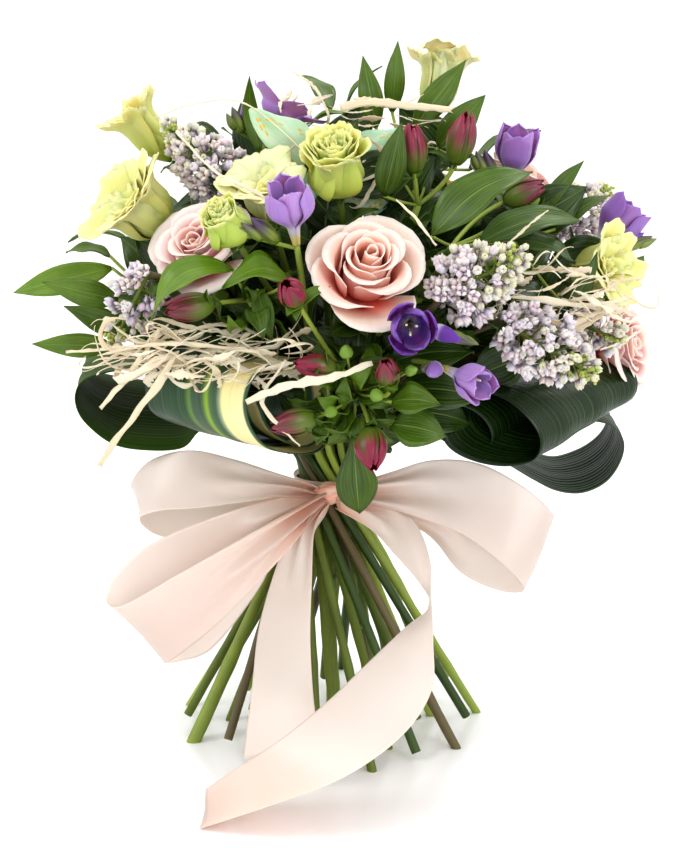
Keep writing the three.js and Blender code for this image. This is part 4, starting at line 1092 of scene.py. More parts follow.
def rose_petal(order, finish, dice):
    stage = order / (ROSE_PETALS - 1)
    reach, height, lean, half_angle, roll, rounding = (
        np.interp(stage, ROSE_STAGES[:, 0], ROSE_STAGES[:, i]) for i in range(1, 7))
    lean = math.radians(lean + dice.uniform(-3, 3) * (0.3 + stage))
    profile = petal_profile(lean, roll * dice.uniform(0.8, 1.15))
    reach, height = reach * dice.uniform(0.96, 1.05), height * dice.uniform(0.96, 1.03)
    turn = order * GOLDEN_ANGLE + dice.uniform(-0.12, 0.12)
    rough, seed = (0.25 + 0.75 * stage) * dice.uniform(0.6, 1.2), dice.random()

    def place(u, v):
        share = u * (1 - rounding * np.abs(v) ** 2.4)
        out, up = profile(share)
        wide = math.radians(half_angle) * (0.42 + 0.58 * np.sin(np.minimum(u * 1.4, 1) * math.pi / 2))
        angle = turn + v * wide
        waves = wander(v * half_angle / 22, u * 1.6, random.Random(seed), 1.5) * u**3
        ragged = 0.45 * rough * np.sin(17 * v + 6 * seed) * u**10
        out = np.maximum(out * reach * (1 + 0.11 * v) + 1.1 * rough * waves, 0.8)
        up = 0.6 + (height - 0.6) * up + 0.8 * rough * waves + ragged
        shift = HEART_SHIFT * (1 - stage) * u
        return np.stack([out * np.cos(angle), out * np.sin(angle) + shift, up], axis=1)

    # inner petals take the warm heart colour, partly the rose's own and partly painted shade
    tone = np.clip(0.95 - 0.95 * stage + dice.uniform(-0.06, 0.06), 0, 1)
    return blade(*ROSE_GRID, place, finish, tone)


def rose_bloom(name, at, facing, width, spin, dice):
    finish = ROSE if name == "rose_front" else PALE_ROSE
    heart = ball(10, 8, lambda u, angle: np.stack([
        2.0 * np.sin(math.pi * u) ** 0.6 * np.cos(angle),
        2.0 * np.sin(math.pi * u) ** 0.6 * np.sin(angle) + HEART_SHIFT * u,
        1 + 25 * u,
    ], axis=1), finish, 1.0)
    petals = [rose_petal(order, finish, dice) for order in range(ROSE_PETALS)]
    bloom = join([thicken(petals, PETAL_THICKNESS), heart])
    neck = neck_of(at, facing, ROSE_HEIGHT * width / ROSE_WIDTH)
    stand(bloom, neck + facing * 1.1, facing, spin, width / ROSE_WIDTH)
    return keep(bloom, f"{name}_bloom", "rose_petals", name)


def calyx(neck, facing, sepal_reach, dice):
    """The green hip under a flower and its five drawn-out sepals."""
    hip = ball(10, 8, lambda u, angle: np.stack([
        3.5 * np.sin(math.pi * u) ** 0.7 * np.cos(angle),
        3.5 * np.sin(math.pi * u) ** 0.7 * np.sin(angle),
        -5 + 6.2 * u,
    ], axis=1), LEAF, 0.5)
    sepals = []
    for k in range(SEPALS):
        angle = math.tau * k / SEPALS
        out = np.array([math.cos(angle), math.sin(angle), 0])
        tip = out * sepal_reach + np.array([0, 0, dice.uniform(-1, 3)])
        sepals.append(leaf(out * 1.5, tip, 4.2, dice, 0.1, np.array([0, 0, 1.0]), 0.5))
    return stand(join([thicken(sepals, LEAF_THICKNESS), hip]), neck, facing)


ROSE_SPINS = {"rose_front": -0.8}  # the others are turned at random


def make_roses():
    for i, (name, at, facing, width) in enumerate(ROSES):
        dice = random.Random(SEEDS["roses"] + i)
        rose_bloom(name, at, facing, width, ROSE_SPINS.get(name, dice.uniform(0, math.tau)), dice)
        neck = neck_of(at, facing, ROSE_HEIGHT * width / ROSE_WIDTH)
        leaves = thicken(leafy(name, dice, 11, 36, 21, 0.12), LEAF_THICKNESS)
        whole = join([stem(name, GREEN_STEM, STEM_RADIUS, dice), calyx(neck, facing, 14, dice), leaves])
        keep(whole, f"{name}_leafy_stem", "stem", f"{name}_stem")


# Lisianthus

# Petals, their reach, rim height, lean and half angle in degrees, and how much their rims wave
LISIANTHUS_LAYERS = (
    (4, 6.0, 33.0, -8, 84, 0.8),
    (4, 12.0, 36.0, -5, 78, 1.2),
    (5, 19.0, 39.0, -1, 66, 1.7),
    (5, 27.0, 41.0, 4, 60, 2.2),
)
YOUNG_LAYERS = (
    (4, 5.0, 38.0, -10, 84, 1.0),
    (5, 10.0, 39.0, -8, 78, 1.2),
    (6, 15.5, 39.5, -6, 66, 1.3),
    (6, 21.0, 39.0, -4, 60, 1.4),
    (5, 26.0, 36.0, 2, 62, 1.4),
)
FRILLED = {"lisianthus_right": 1.7, "lisianthus_high_left": 1.5}  # how much more than the others
YOUNG_GREEN = 0.6  # a greener flower is still young


def lisianthus_petal(layer, outer, turn, green, frilled, dice):
    _, reach, height, lean, half_angle, ruffle = layer
    young = green > YOUNG_GREEN
    openness = 1.15 - 1.05 * green
    flare = (0.45 + 0.85 * outer) * openness * dice.uniform(0.8, 1.3)
    lean = lean * openness - 9 * green + dice.uniform(-4, 4)
    profile = petal_profile(math.radians(lean), flare, root=0.8, starts=0.55)
    reach, height = reach * dice.uniform(0.93, 1.03), height * dice.uniform(0.93, 1.03)
    phases = [dice.uniform(0, math.tau) for _ in range(4)]
    waves = (3.0, 15.0, 31.0) if young else (4.6, 11.0, 23.0)

    def place(u, v):
        out, up = profile(u * (1 - 0.14 * np.abs(v) ** 2.2))
        wide = math.radians(half_angle) * (0.35 + 0.65 * np.sin(np.minimum(u * 1.3, 1) * math.pi / 2))
        angle = turn + v * wide
        fold = 0.11 * reach * np.sin(3.6 * v + phases[3] + 1.5 * u) * smooth_step(0.1, 0.5, u)
        frill = 1.1 * np.sin(waves[0] * v + phases[0])
        frill = frill + 0.4 * frilled * np.sin(waves[1] * v + phases[1] + 2 * u)
        frill = frill + 0.28 * frilled * np.sin(waves[2] * v + phases[2]) * smooth_step(0.75, 1, u)
        frill = 1.2 * ruffle * smooth_step(0.5, 1.0, u) ** 1.5 * frill
        out = np.maximum(out * reach * (1 + 0.08 * v) + fold + 0.5 * frill, 0.7)
        up = 0.6 + (height - 0.6) * up + 0.75 * frill
        return np.stack([out * np.cos(angle), out * np.sin(angle), up], axis=1)

    tone = np.clip(green + 0.3 * (1 - outer) + dice.uniform(-0.08, 0.08), 0, 1)
    return blade(*(YOUNG_GRID if young else LISIANTHUS_GRID), place, LEMON, tone)


def make_lisianthus():
    for i, (name, _, at, facing, width, height, green) in enumerate(LISIANTHUS):
        dice = random.Random(SEEDS["lisianthus"] + i)
        petals = []
        layers = YOUNG_LAYERS if green > YOUNG_GREEN else LISIANTHUS_LAYERS
        for order, layer in enumerate(layers):
            outer = order / (len(layers) - 1)
            for k in range(layer[0]):
                turn = math.tau * k / layer[0] + order * 2.1 + dice.uniform(-0.12, 0.12)
                petals.append(lisianthus_petal(layer, outer, turn, green, FRILLED.get(name, 1.0), dice))
        bloom = thicken(petals, PETAL_THICKNESS)
        scale = np.array([width / LISIANTHUS_WIDTH, width / LISIANTHUS_WIDTH, height / LISIANTHUS_HEIGHT])
        bloom.data.vertices.foreach_set("co", (corners(bloom) * scale).ravel())
        stand(bloom, neck_of(at, facing, height) + facing * 1.1, facing, dice.uniform(0, math.tau))
        keep(bloom, f"{name}_bloom", "lisianthus_petals", name)
    for number in range(LISIANTHUS_STEMS):
        dice = random.Random(SEEDS["lisianthus_stems"] + number)
        name = f"lisianthus_stem_{number + 1}"
        heads = [flower for flower in LISIANTHUS if flower[1] == number]
        parts = [stem(name, GREEN_STEM, STEM_RADIUS, dice, 0.4)]
        for order, (_, _, at, facing, _, height, _) in enumerate(heads):
            neck = neck_of(at, facing, height)
            parts.append(calyx(neck, facing, 9, dice))
            if order:
                parts.append(lisianthus_branch(name, neck, facing))
        parts.append(thicken(leafy(name, dice, 7, 32, 17, 0.3), LEAF_THICKNESS))
        keep(join(parts), f"{name}_leafy", "stem", name)


def lisianthus_branch(name, neck, facing):
    above = ROUTES[name][0][FOOT_STATIONS:]
    leaves_at = along(above, np.array([0.5]))[0]
    reach = np.linalg.norm(neck - leaves_at)
    route = bezier((leaves_at, neck - facing * reach * 0.4, neck), 12)
    return tube(route, STEM_RADIUS * 0.7, GREEN_STEM, 8, 0.4)


# Freesias

FREESIA_PETALS = 6
CUP_HEIGHT = 42
CUP_RADIUS = 14.5
CUP_STARTS = 0.26  # along the flower, above its tube


def freesia_flower(open_share, depth, dice):
    """A tube that widens into a cup of six round petals, three of them inside, with pale stamens."""
    petals = []
    for k in range(FREESIA_PETALS):
        inner = k % 2
        turn = math.tau * k / FREESIA_PETALS + dice.uniform(-0.08, 0.08)
        rim = CUP_RADIUS * min(open_share, 1.0) * (0.8 if inner else 1.0)
        spread = 34 * max(0.0, open_share - 1)
        tall, lean = (CUP_HEIGHT - spread) * dice.uniform(0.95, 1.02), dice.uniform(-2.0, 1.4) + spread

        def place(u, v, inner=inner, turn=turn, rim=rim, tall=tall, lean=lean):
            cup = smooth_step(CUP_STARTS, 0.68, u)
            out = np.where(u < CUP_STARTS, 1.9 + 5.0 * u, 3.2 + (rim - 3.2) * cup) - inner * 0.5
            out = out + lean * smooth_step(0.7, 1, u) - 0.9 * v**2 * cup
            tip = np.sqrt(np.maximum(1 - np.clip((u - 0.76) / 0.24, 0, 1) ** 2.4, 0.0)) * 0.94 + 0.06
            half = np.where(u < CUP_STARTS, 1.25 * out, (3.6 + 5.6 * cup) * tip)
            angle = turn + v * half / np.maximum(out, 1.0)
            up = tall * u - 1.5 * v**2 * smooth_step(0.7, 1.0, u)
            return np.stack([out * np.cos(angle), out * np.sin(angle), up], axis=1)

        tone = np.clip(depth + dice.uniform(-0.1, 0.1) - 0.15 * inner, 0, 1)
        petals.append(blade(*FREESIA_GRID, place, VIOLET, tone))
    flower = [thicken(petals, PETAL_THICKNESS)]
    for k in range(3):
        angle = math.tau * k / 3 + 0.4
        side = np.array([math.cos(angle), math.sin(angle), 0])
        route = bezier((side + [0, 0, 12.0], side * 2.0 + [0, 0, 24.0], side * 3.4 + [0, 0, 33.0]), 6)
        flower.append(tube(route, [0.35, 0.35, 0.35, 0.4, 0.9, 0.7], STAMEN, 5))
    return join(flower)


def bud(radius, length, finish, tone, ribs=0):
    """A closed bud along +Z, with the ridges of the petals that it holds."""
    def place(u, angle):
        swell = np.sin(math.pi * u**0.85) ** 0.85 * (1 - 0.25 * u)
        out = radius * 1.08 * swell * (1 + 0.07 * np.cos(ribs * (angle + u * 0.8)) * np.sin(math.pi * u))
        return np.stack([out * np.cos(angle), out * np.sin(angle), -2 + (length + 2) * u], axis=1)
    return ball(12, 12, place, finish, tone)


BUD_PETALS = 6


def petalled_bud(radius, length, finish, tone, dice):
    """A bud of six petals that close over one another and part a little at the tip."""
    petals = []
    for k in range(BUD_PETALS):
        inner = k % 2
        turn = math.tau * k / BUD_PETALS + dice.uniform(-0.1, 0.1)
        tall = length * (0.96 if inner else 1.0) * dice.uniform(0.95, 1.03)
        parting = dice.uniform(-0.05, 0.14)

        def place(u, v, inner=inner, turn=turn, tall=tall, parting=parting):
            swell = np.sin(math.pi * (0.06 + 0.88 * u) ** 0.92) ** 0.7 * (1 - 0.06 * u) + parting * u**7
            out = radius * (1.0 - 0.1 * inner) * swell * (1 + 0.05 * v) + 0.35
            pointed = 1 - 0.5 * smooth_step(0.78, 1, u)
            angle = turn + v * math.radians(52) * pointed
            up = -2 + (tall + 2) * u - 0.07 * length * v**2 * smooth_step(0.4, 1, u)
            return np.stack([out * np.cos(angle), out * np.sin(angle), up], axis=1)

        petals.append(blade(*BUD_GRID, place, finish, np.clip(tone + dice.uniform(-0.12, 0.12), 0, 1)))
    return thicken(petals, PETAL_THICKNESS)


DARK_BUDDED = ("freesia_front", "freesia_upright")  # their largest bud is green and smoky violet
SMALL_FREESIAS = {"freesia_low": 0.84}


def make_freesias():
    for i, (name, at, facing, open_share, spike_to, depth) in enumerate(FREESIAS):
        dice = random.Random(SEEDS["freesias"] + i)
        neck = neck_of(at, facing, FREESIA_LENGTH)
        outward = unit(spike_to - neck)
        size = SMALL_FREESIAS.get(name, 1.0)
        flower = stand(freesia_flower(open_share, depth, dice), neck, facing, size=size)
        spike = bezier((neck - facing * 3, neck + (spike_to - neck) * 0.5 - facing * 2, spike_to), 10)
        parts = [stem(name, FRESH_STEM, FREESIA_STEM_RADIUS, dice, 0.5), flower]
        parts.append(tube(spike, 1.2, FRESH_STEM, 7, 0.5))
        parts.append(thicken(leafy(name, dice, 5, 34, 13, 0.3), LEAF_THICKNESS))
        for order, (share, radius, length) in enumerate(FREESIA_BUDS):
            base = neck + (spike_to - neck) * share
            heading = facing + outward * (0.5 + share)
            if order == 0 and name not in DARK_BUDDED:
                parts.append(stand(bud(radius, length, VIOLET, depth * 0.6 + 0.3, 3), base, heading))
            else:
                parts.append(stand(bud(radius, length, FREESIA_BUD, 1 - 0.35 * order, 3), base, heading))
            parts.append(stand(bud(radius * 0.75, length * 0.3, LEAF, 0.6), base, heading))
        keep(join(parts), f"{name}_spray", "freesia_spray", name)


# Lilac

LOBES = 4


def lobed_floret(tilt, spread):
    """A floret of a slim tube and four round lobes, tilted out by some degrees."""
    up = np.array([0, 0, 1.0])
    parts = [tube(bezier((up * 0, up * 4.4), 2), (0.6, 1.0), LILAC_PETAL, 4)]
    for k in range(LOBES):
        out, across = direction(90 * k, 0), direction(90 * k + 90, 0)
        heading = out * math.sin(math.radians(tilt)) + up * math.cos(math.radians(tilt))
        over = np.cross(heading, across)
        root = out * spread + up * 3.0

        def place(u, angle, root=root, heading=heading, across=across, over=over):
            wide = np.sin(math.pi * u**1.2) ** 0.8
            side, rise = (2.1 * wide * np.cos(angle))[:, None], (1.1 * wide * np.sin(angle))[:, None]
            return root + heading * (5.6 * u)[:, None] + across * side + over * rise

        parts.append(ball(5, 3, place, LILAC_PETAL))
    return join(parts)


def floret_models():
    """A closed floret, a half-open one and a round bud."""
    return lobed_floret(3, 0.9), lobed_floret(26, 0.8), round_bud_model()


def round_bud_model():
    def place(u, angle):
        out = 1.5 * np.sin(math.pi * u) ** 0.8
        return np.stack([out * np.cos(angle), out * np.sin(angle), 3.4 * u], axis=1)
    return ball(6, 5, place, LILAC_BUD)


FLORETS_PER_CLUSTER = 5
IN_BUD = 0.84  # the share of a panicle's length past which its florets are round buds
SPARSE_WIDTH = 31  # narrower panicles hold fewer florets
CLUSTER_AREA, SPARSE_CLUSTER_AREA = 66, 100  # of the panicle's outline, for each cluster


def panicle(base, tip, width, models, dice):
    """Clusters of florets that stand out all round a tapering axis, in bud towards its tip."""
    chord = tip - base
    length = np.linalg.norm(chord)
    heading = chord / length
    x = unit(np.cross([0.2, 0.3, 1], heading))
    y = np.cross(heading, x)
    clusters = int(length * width / (SPARSE_CLUSTER_AREA if width < SPARSE_WIDTH else CLUSTER_AREA))
    parts = [tube(bezier((base, (base + tip) / 2, tip), 8), np.linspace(1.5, 0.6, 8), GREEN_STEM, 6, 0.5)]
    for k in range(clusters):
        t = (k + 0.5) / clusters
        angle = k * GOLDEN_ANGLE
        radial = x * math.cos(angle) + y * math.sin(angle)
        surface = width / 2 * (0.3 + 0.7 * float(hump(np.array(t), 0.36)))
        root = base + chord * max(0.0, t - 0.08)
        hub = base + chord * t + radial * max(1.0, (surface - 7) * dice.uniform(0.72, 1.0))
        parts.append(tube(bezier((root, (root + hub) / 2 + heading, hub), 4), 0.5, GREEN_STEM, 4, 0.6))
        for _ in range(FLORETS_PER_CLUSTER):
            spread = np.array([dice.uniform(-1, 1) for _ in range(3)])
            out = unit(radial + heading * (0.25 + 0.9 * t) + spread * 0.75)
            young = t + dice.uniform(-0.22, 0.22)
            model = models[2 if young > IN_BUD else int(dice.random() < 0.75 - 0.9 * young)]
            size = dice.uniform(0.9, 1.3) * (1.0 if young < 0.7 else 0.85)
            floret = copy_of(model)
            paleness = dice.uniform(0, 0.35) + 0.5 * float(smooth_step(0.5, 0.75, young))
            floret.data.attributes["tone"].data.foreach_set("value", [paleness] * len(floret.data.vertices))
            parts.append(stand(floret, hub + spread * 1.6, out, dice.uniform(0, 1.5), size))
            if model is models[2]:
                parts.append(stand(copy_of(model), hub + spread * 1.6 + out * 2.6, out, 0.7, size * 0.8))
    return join(parts)


def make_lilacs():
    models = floret_models()
    for i, (name, base, tip, width) in enumerate(LILACS):
        dice = random.Random(SEEDS["lilacs"] + i)
        spray = panicle(base, tip, width, models, dice)
        leaves = thicken(leafy(name, dice, 11, 34, 22, 0.08), LEAF_THICKNESS)
        whole = join([spray, stem(name, WOODY_STEM, STEM_RADIUS, dice), leaves])
        keep(whole, f"{name}_panicle", "lilac_spray", name)
    put_away(*models)


# Sprays of alstroemeria and plain foliage

def make_sprays():
    for i, (name, (fork, buds, leaves)) in enumerate(SPRAYS.items()):
        dice = random.Random(SEEDS["sprays"] + i)
        flowering = name.startswith("alstroemeria")
        blades, parts = [], [stem(name, FRESH_STEM if flowering else GREEN_STEM, STEM_RADIUS, dice, 0.5)]
        for shape_of_leaf in leaves:
            blades.append(leaf(dice=dice, **shape_of_leaf))
            parts.append(stalk(fork, shape_of_leaf["base"], 0.95))
        for one in buds:
            at, facing = one["at"], one["facing"]
            closed = petalled_bud(one["radius"] * 0.9, one["length"] * 0.95, CRIMSON, one["tone"], dice)
            parts.append(stand(closed, at, facing, dice.uniform(0, math.tau)))
            reach = np.linalg.norm(at - fork)
            parts.append(tube(bezier((fork, at - facing * reach * 0.4, at), 10), 1.35, FRESH_STEM, 7, 0.6))
            blades += bud_leaves(at, facing, dice)
        blades += leafy(name, dice, 9 if flowering else 7, 32, 16, 0.25, 0.3, 1.0)
        for at, depth, radius in ROUND_BUDS.get(name, ()):
            place = seen(*at, depth)
            parts.append(stand(bud(radius, radius * 2.6, GREEN_BUD, 0.5, 3), place, place - fork))
            parts.append(stalk(fork, place, 0.7))
        for _ in range(CURLY_LEAVES.get(name, 0)):
            blades.append(curly_leaf(fork, dice))
        if name in DEEP_LEAVES:
            deep, stalks = deep_leaves(name, fork, dice)
            blades += deep
            parts += stalks
        parts.append(thicken(blades, LEAF_THICKNESS))
        slot = "alstroemeria_spray" if flowering else "foliage"
        keep(join(parts), f"{name}_spray", slot, name)


# Small green buds and how many small curly leaves stand round the fork of a spray
ROUND_BUDS = {
    "alstroemeria_low": (
        ((347, 355), -128, 3.9), ((375, 395), -132, 3.9), ((333, 410), -126, 3.6), ((408, 372), -130, 3.2),
    ),
    "alstroemeria_right": (((522, 212), -48, 3.4), ((530, 204), -44, 3.0), ((536, 216), -46, 3.2)),
}
CURLY_LEAVES = {"alstroemeria_low": 34, "alstroemeria_right": 6, "alstroemeria_left": 8}


# The spray that carries them, and the columns, the rows and the depth where dark leaves fill the head; their
# darkness is painted shade
DEEP_LEAVES = {
    "foliage_left": ((186, 240), (250, 360), -22),
    "foliage_top": ((262, 408), (176, 376), -22),
    "foliage_right": ((428, 566), (214, 376), -22),
    "foliage_rear": ((236, 470), (150, 330), 40),
}
DEEP_LEAF_PITCH = 42  # in pixels of the photograph


def deep_leaves(name, fork, dice):
    """Leaves that face the viewer in the middle of the head, each with its stalk, made dark with painted
    shade.
    """
    columns, rows, middle = DEEP_LEAVES[name]
    blades, stalks = [], []
    for column in range(columns[0], columns[1], DEEP_LEAF_PITCH):
        for row in range(rows[0], rows[1], DEEP_LEAF_PITCH):
            depth = middle + dice.uniform(-16, 16)
            base = seen(column + dice.uniform(-12, 12), row + dice.uniform(8, 26), depth)
            sideways = dice.choice((dice.uniform(-20, 60), dice.uniform(120, 200)))
            heading = direction(sideways, dice.uniform(0, 70))
            tip = base + heading * dice.uniform(38, 50)
            # low tones: painted shade inside the head
            width, tone = dice.uniform(26, 32), dice.uniform(0, 0.12)
            blades.append(leaf(base, tip, width, dice, 0.1, TO_VIEWER, tone, grid=HIDDEN_LEAF_GRID))
            stalks.append(stalk(fork, base, 0.7, GREEN_STEM, 0.0))
    return blades, stalks


def curly_leaf(fork, dice):
    """A small leaf near a fork, mostly on the viewer's side of it."""
    out = unit(np.array([dice.uniform(-1, 1), dice.uniform(-1.1, 0.1), dice.uniform(-0.9, 0.9)]))
    base = fork + out * dice.uniform(8, 22)
    heading = unit(out + 0.7 * unit(np.array([dice.uniform(-1, 1) for _ in range(3)])))
    tip = base + heading * dice.uniform(12, 22)
    return leaf(base, tip, dice.uniform(8, 13), dice, 0.3, out, dice.uniform(0.3, 0.8), wave=0.12)


def stalk(fork, base, radius, finish=FRESH_STEM, tone=0.6):
    middle = (fork + base) / 2 - np.array([0, 0, 0.06 * np.linalg.norm(base - fork)])
    return tube(bezier((fork, middle, base), 8), radius, finish, 6, tone)


def bud_leaves(at, facing, dice):
    """Small leaves that stand round the foot of a bud."""
    made = []
    for _ in range(3):
        spread = unit(np.array([dice.uniform(-1, 1) for _ in range(3)]))
        base = at - facing * 6
        tip = base + unit(facing * 0.5 + spread) * dice.uniform(12, 22)
        made.append(leaf(base, tip, dice.uniform(5, 9), dice, 0.18, facing + spread, dice.uniform(0.3, 0.7)))
    return made


# Broad leaves that fold back on themselves in a loop

def looped_leaf(azimuth, inner, outer, low, high, width, finish, dice):
    """A leaf that goes out, folds back over itself and curls in again between its two runs."""
    out = direction(azimuth, 0)
    side = np.array([-out[1], out[0], 0])
    middle, bend = (low + high) / 2, (high - low) / 2
    outline = [(inner - 4, LOOP_START), (inner + 16, (LOOP_START + low) / 2), (outer - bend * 1.2, low)]
    for angle in map(math.radians, (-60, -20, 20, 60)):
        outline.append((outer - bend + bend * math.cos(angle), middle + bend * math.sin(angle)))
    outline += [(outer - bend * 1.3, high), (inner + 22, high - 5), (inner + 9, middle + 3)]
    folded = len(outline) - 1
    outline += [
        (inner + 16, low + 5), (outer - bend * 2.4, low + 5), (outer - bend * 1.25, middle - 2),
        (outer - bend * 2.2, high - 7), (outer - bend * 3.2, middle + 2),
    ]
    line = spline(outline, 120)
    phase = dice.uniform(0, math.tau)

    def place(u, v):
        share = u * (len(outline) - 1) / folded
        reach, rise = along(line, u).T
        half = width / 2 * np.minimum(1, 0.1 + 3.2 * share) * (1 - 0.35 * np.minimum(share, 1) ** 2)
        half = half * (1 - 0.3 * smooth_step(1.0, 1.5, share))
        shift = v * half
        wave = 0.8 * np.sin(share * 9 + phase + 2 * v) * v**2
        crease = 0.9 * (1 - np.abs(v)) * np.sin(math.pi * np.minimum(share, 1))
        rise = rise + wave + crease
        return out * reach[:, None] + side * shift[:, None] + np.array([0, 0, 1]) * rise[:, None]

    return blade(*LOOP_GRID, place, finish)


# The two edges of the looped leaves that the photograph shows best: column, row and depth
LEAF_EDGES = {
    "aspidistra_variegated": (
        ((286, 448, -34), (300, 446, -46)),
        ((262, 436, -28), (326, 440, -62)),
        ((225, 432, -44), (318, 451, -80)),
        ((190, 428, -64), (296, 454, -98)),
        ((164, 419, -76), (268, 448, -112)),
        ((150, 408, -82), (252, 430, -118)),
        ((146, 390, -84), (246, 408, -119)),
        ((147, 371, -84), (249, 388, -117)),
        ((153, 358, -80), (259, 373, -112)),
        ((170, 349, -70), (280, 364, -98)),
        ((200, 344, -54), (310, 360, -76)),
        ((246, 356, -44), (322, 372, -60)),
        ((264, 384, -38), (332, 396, -64)),
        ((256, 414, -40), (326, 430, -66)),
        ((236, 428, -54), (304, 446, -84)),
        ((212, 414, -62), (272, 430, -94)),
        ((204, 390, -62), (258, 402, -92)),
    ),
    "aspidistra_right": (
        ((384, 438, -34), (388, 432, -26)),
        ((418, 410, -56), (452, 384, -6)),
        ((462, 391, -70), (530, 366, -4)),
        ((500, 397, -76), (590, 360, -6)),
        ((527, 417, -80), (626, 368, -8)),
        ((541, 440, -82), (636, 384, -10)),
        ((534, 461, -84), (627, 400, -14)),
        ((504, 467, -86), (596, 404, -20)),
        ((470, 460, -86), (562, 400, -24)),
        ((447, 445, -84), (540, 390, -24)),
        ((443, 424, -80), (536, 376, -22)),
        ((458, 407, -76), (550, 368, -18)),
        ((481, 418, -72), (570, 376, -16)),
        ((491, 437, -70), (580, 388, -16)),
        ((483, 453, -70), (574, 396, -18)),
    ),
    "aspidistra_left": (
        ((257, 428, -4), (257, 424, 12)),
        ((228, 424, -28), (236, 404, 34)),
        ((200, 429, -34), (212, 394, 48)),
        ((182, 447, -38), (188, 386, 52)),
        ((146, 450, -40), (152, 380, 54)),
        ((112, 444, -38), (124, 376, 54)),
        ((84, 422, -34), (102, 372, 54)),
        ((75, 402, -30), (90, 366, 52)),
        ((79, 386, -28), (86, 358, 50)),
        ((94, 377, -28), (97, 351, 48)),
        ((125, 371, -30), (128, 348, 46)),
        ((165, 366, -30), (168, 346, 42)),
        ((210, 364, -26), (210, 350, 34)),
        ((240, 372, -16), (240, 364, 4)),
    ),
    "aspidistra_right_back": (
        ((429, 434, 2), (429, 430, 14)),
        ((462, 452, -14), (466, 430, 34)),
        ((500, 462, -16), (506, 440, 44)),
        ((530, 478, -14), (530, 452, 48)),
        ((556, 490, -12), (553, 458, 50)),
        ((582, 492, -10), (577, 451, 52)),
        ((606, 481, -8), (594, 440, 54)),
        ((621, 460, -6), (604, 427, 56)),
        ((624, 440, -4), (607, 412, 58)),
        ((612, 424, 0), (598, 402, 58)),
        ((585, 418, 2), (575, 398, 56)),
        ((545, 416, 4), (540, 400, 50)),
        ((505, 420, 10), (505, 414, 30)),
    ),
}


def edged_leaf(stations, finish, dice):
    """A looped leaf whose edges run through the stations, with soft furrows along it."""
    one, other = (spline([seen(*station[side]) for station in stations], 110) for side in (0, 1))
    rib, phase = (one + other) / 2, dice.uniform(0, math.tau)

    def place(u, v):
        a, b = along(one, u), along(other, u)
        ahead = along(rib, np.minimum(u + 0.02, 1)) - along(rib, np.maximum(u - 0.02, 0))
        normal = unit(np.cross(b - a, ahead))
        furrows = 0.35 * np.sin(v * 9 + phase) + 0.8 * np.sin(u * 8 + 2 * v) * v**2
        return a + (b - a) * ((v + 1) / 2)[:, None] + normal * furrows[:, None]

    return blade(*EDGED_GRID, place, finish)


def make_aspidistras():
    finishes = {
        "aspidistra_variegated": VARIEGATED,
        "aspidistra_left": GREEN_LEAF,
        "aspidistra_right_back": RIBBED_LEAF,
        "aspidistra_rear": DULL_LEAF,
    }
    for i, (name, start) in enumerate(ASPIDISTRAS.items()):
        dice = random.Random(SEEDS["aspidistras"] + i)
        finish = finishes.get(name, DARK_LEAF)
        if name in LEAF_EDGES:
            broad = edged_leaf(LEAF_EDGES[name], finish, dice)
        else:
            broad = looped_leaf(*start, *REAR_LOOP, finish, dice)
        skin = FRESH_STEM if name in THICK_FEET else DARK_STEM
        whole = join([thicken([broad], LEAF_THICKNESS), stem(name, skin, STEM_RADIUS, dice, 0.1)])
        keep(whole, f"{name}_leaf", "aspidistra_leaf", name)


# Straw

# Name, middle of the tangle, how far it reaches, how many strands, seed
STRAWS = (
    ("straw_left", seen(212, 352, -106), (54, 18, 16), 104, 12),
    ("straw_right", seen(560, 294, -84), (46, 12, 18), 52, 23),
    ("straw_top", seen(352, 132, -22), (58, 16, 32), 24, 37),
)
# Strands that stand out in the photograph: their tangle, width in the middle and places
LONG_STRANDS = (
    ("straw_left", 5.2, ((246, 402, -126), (285, 386, -134), (330, 378, -136), (372, 362, -132))),
    ("straw_left", 4.4, ((176, 352, -112), (150, 396, -118), (122, 430, -120), (100, 466, -112))),
    ("straw_left", 3.4, ((160, 330, -108), (132, 372, -112), (100, 408, -108))),
    ("straw_left", 2.2, ((286, 360, -120), (262, 400, -128), (282, 428, -128), (300, 446, -124))),
    ("straw_left", 2.6, ((66, 352, -92), (120, 348, -106), (180, 344, -116), (260, 352, -114))),
    ("straw_right", 3.2, ((500, 296, -92), (548, 300, -94), (592, 306, -80), (634, 296, -66))),
    ("straw_right", 1.4, ((500, 252, -96), (528, 226, -92), (548, 210, -86))),
    ("straw_right", 1.4, ((600, 350, -76), (622, 342, -70), (642, 330, -60))),
    ("straw_top", 5.0, ((340, 108, -28), (372, 102, -34), (415, 106, -36), (458, 110, -26))),
    ("straw_top", 1.0, ((154, 118, -30), (196, 104, -34), (250, 106, -34), (330, 176, -50))),
    ("straw_top", 1.6, ((176, 132, -34), (216, 172, -60), (262, 196, -84), (280, 220, -96))),
    ("straw_top", 1.8, ((293, 72, -10), (306, 80, -14), (318, 92, -16), (330, 118, -20))),
    ("straw_top", 1.6, ((396, 200, -96), (412, 214, -104), (426, 232, -110), (436, 246, -112))),
)


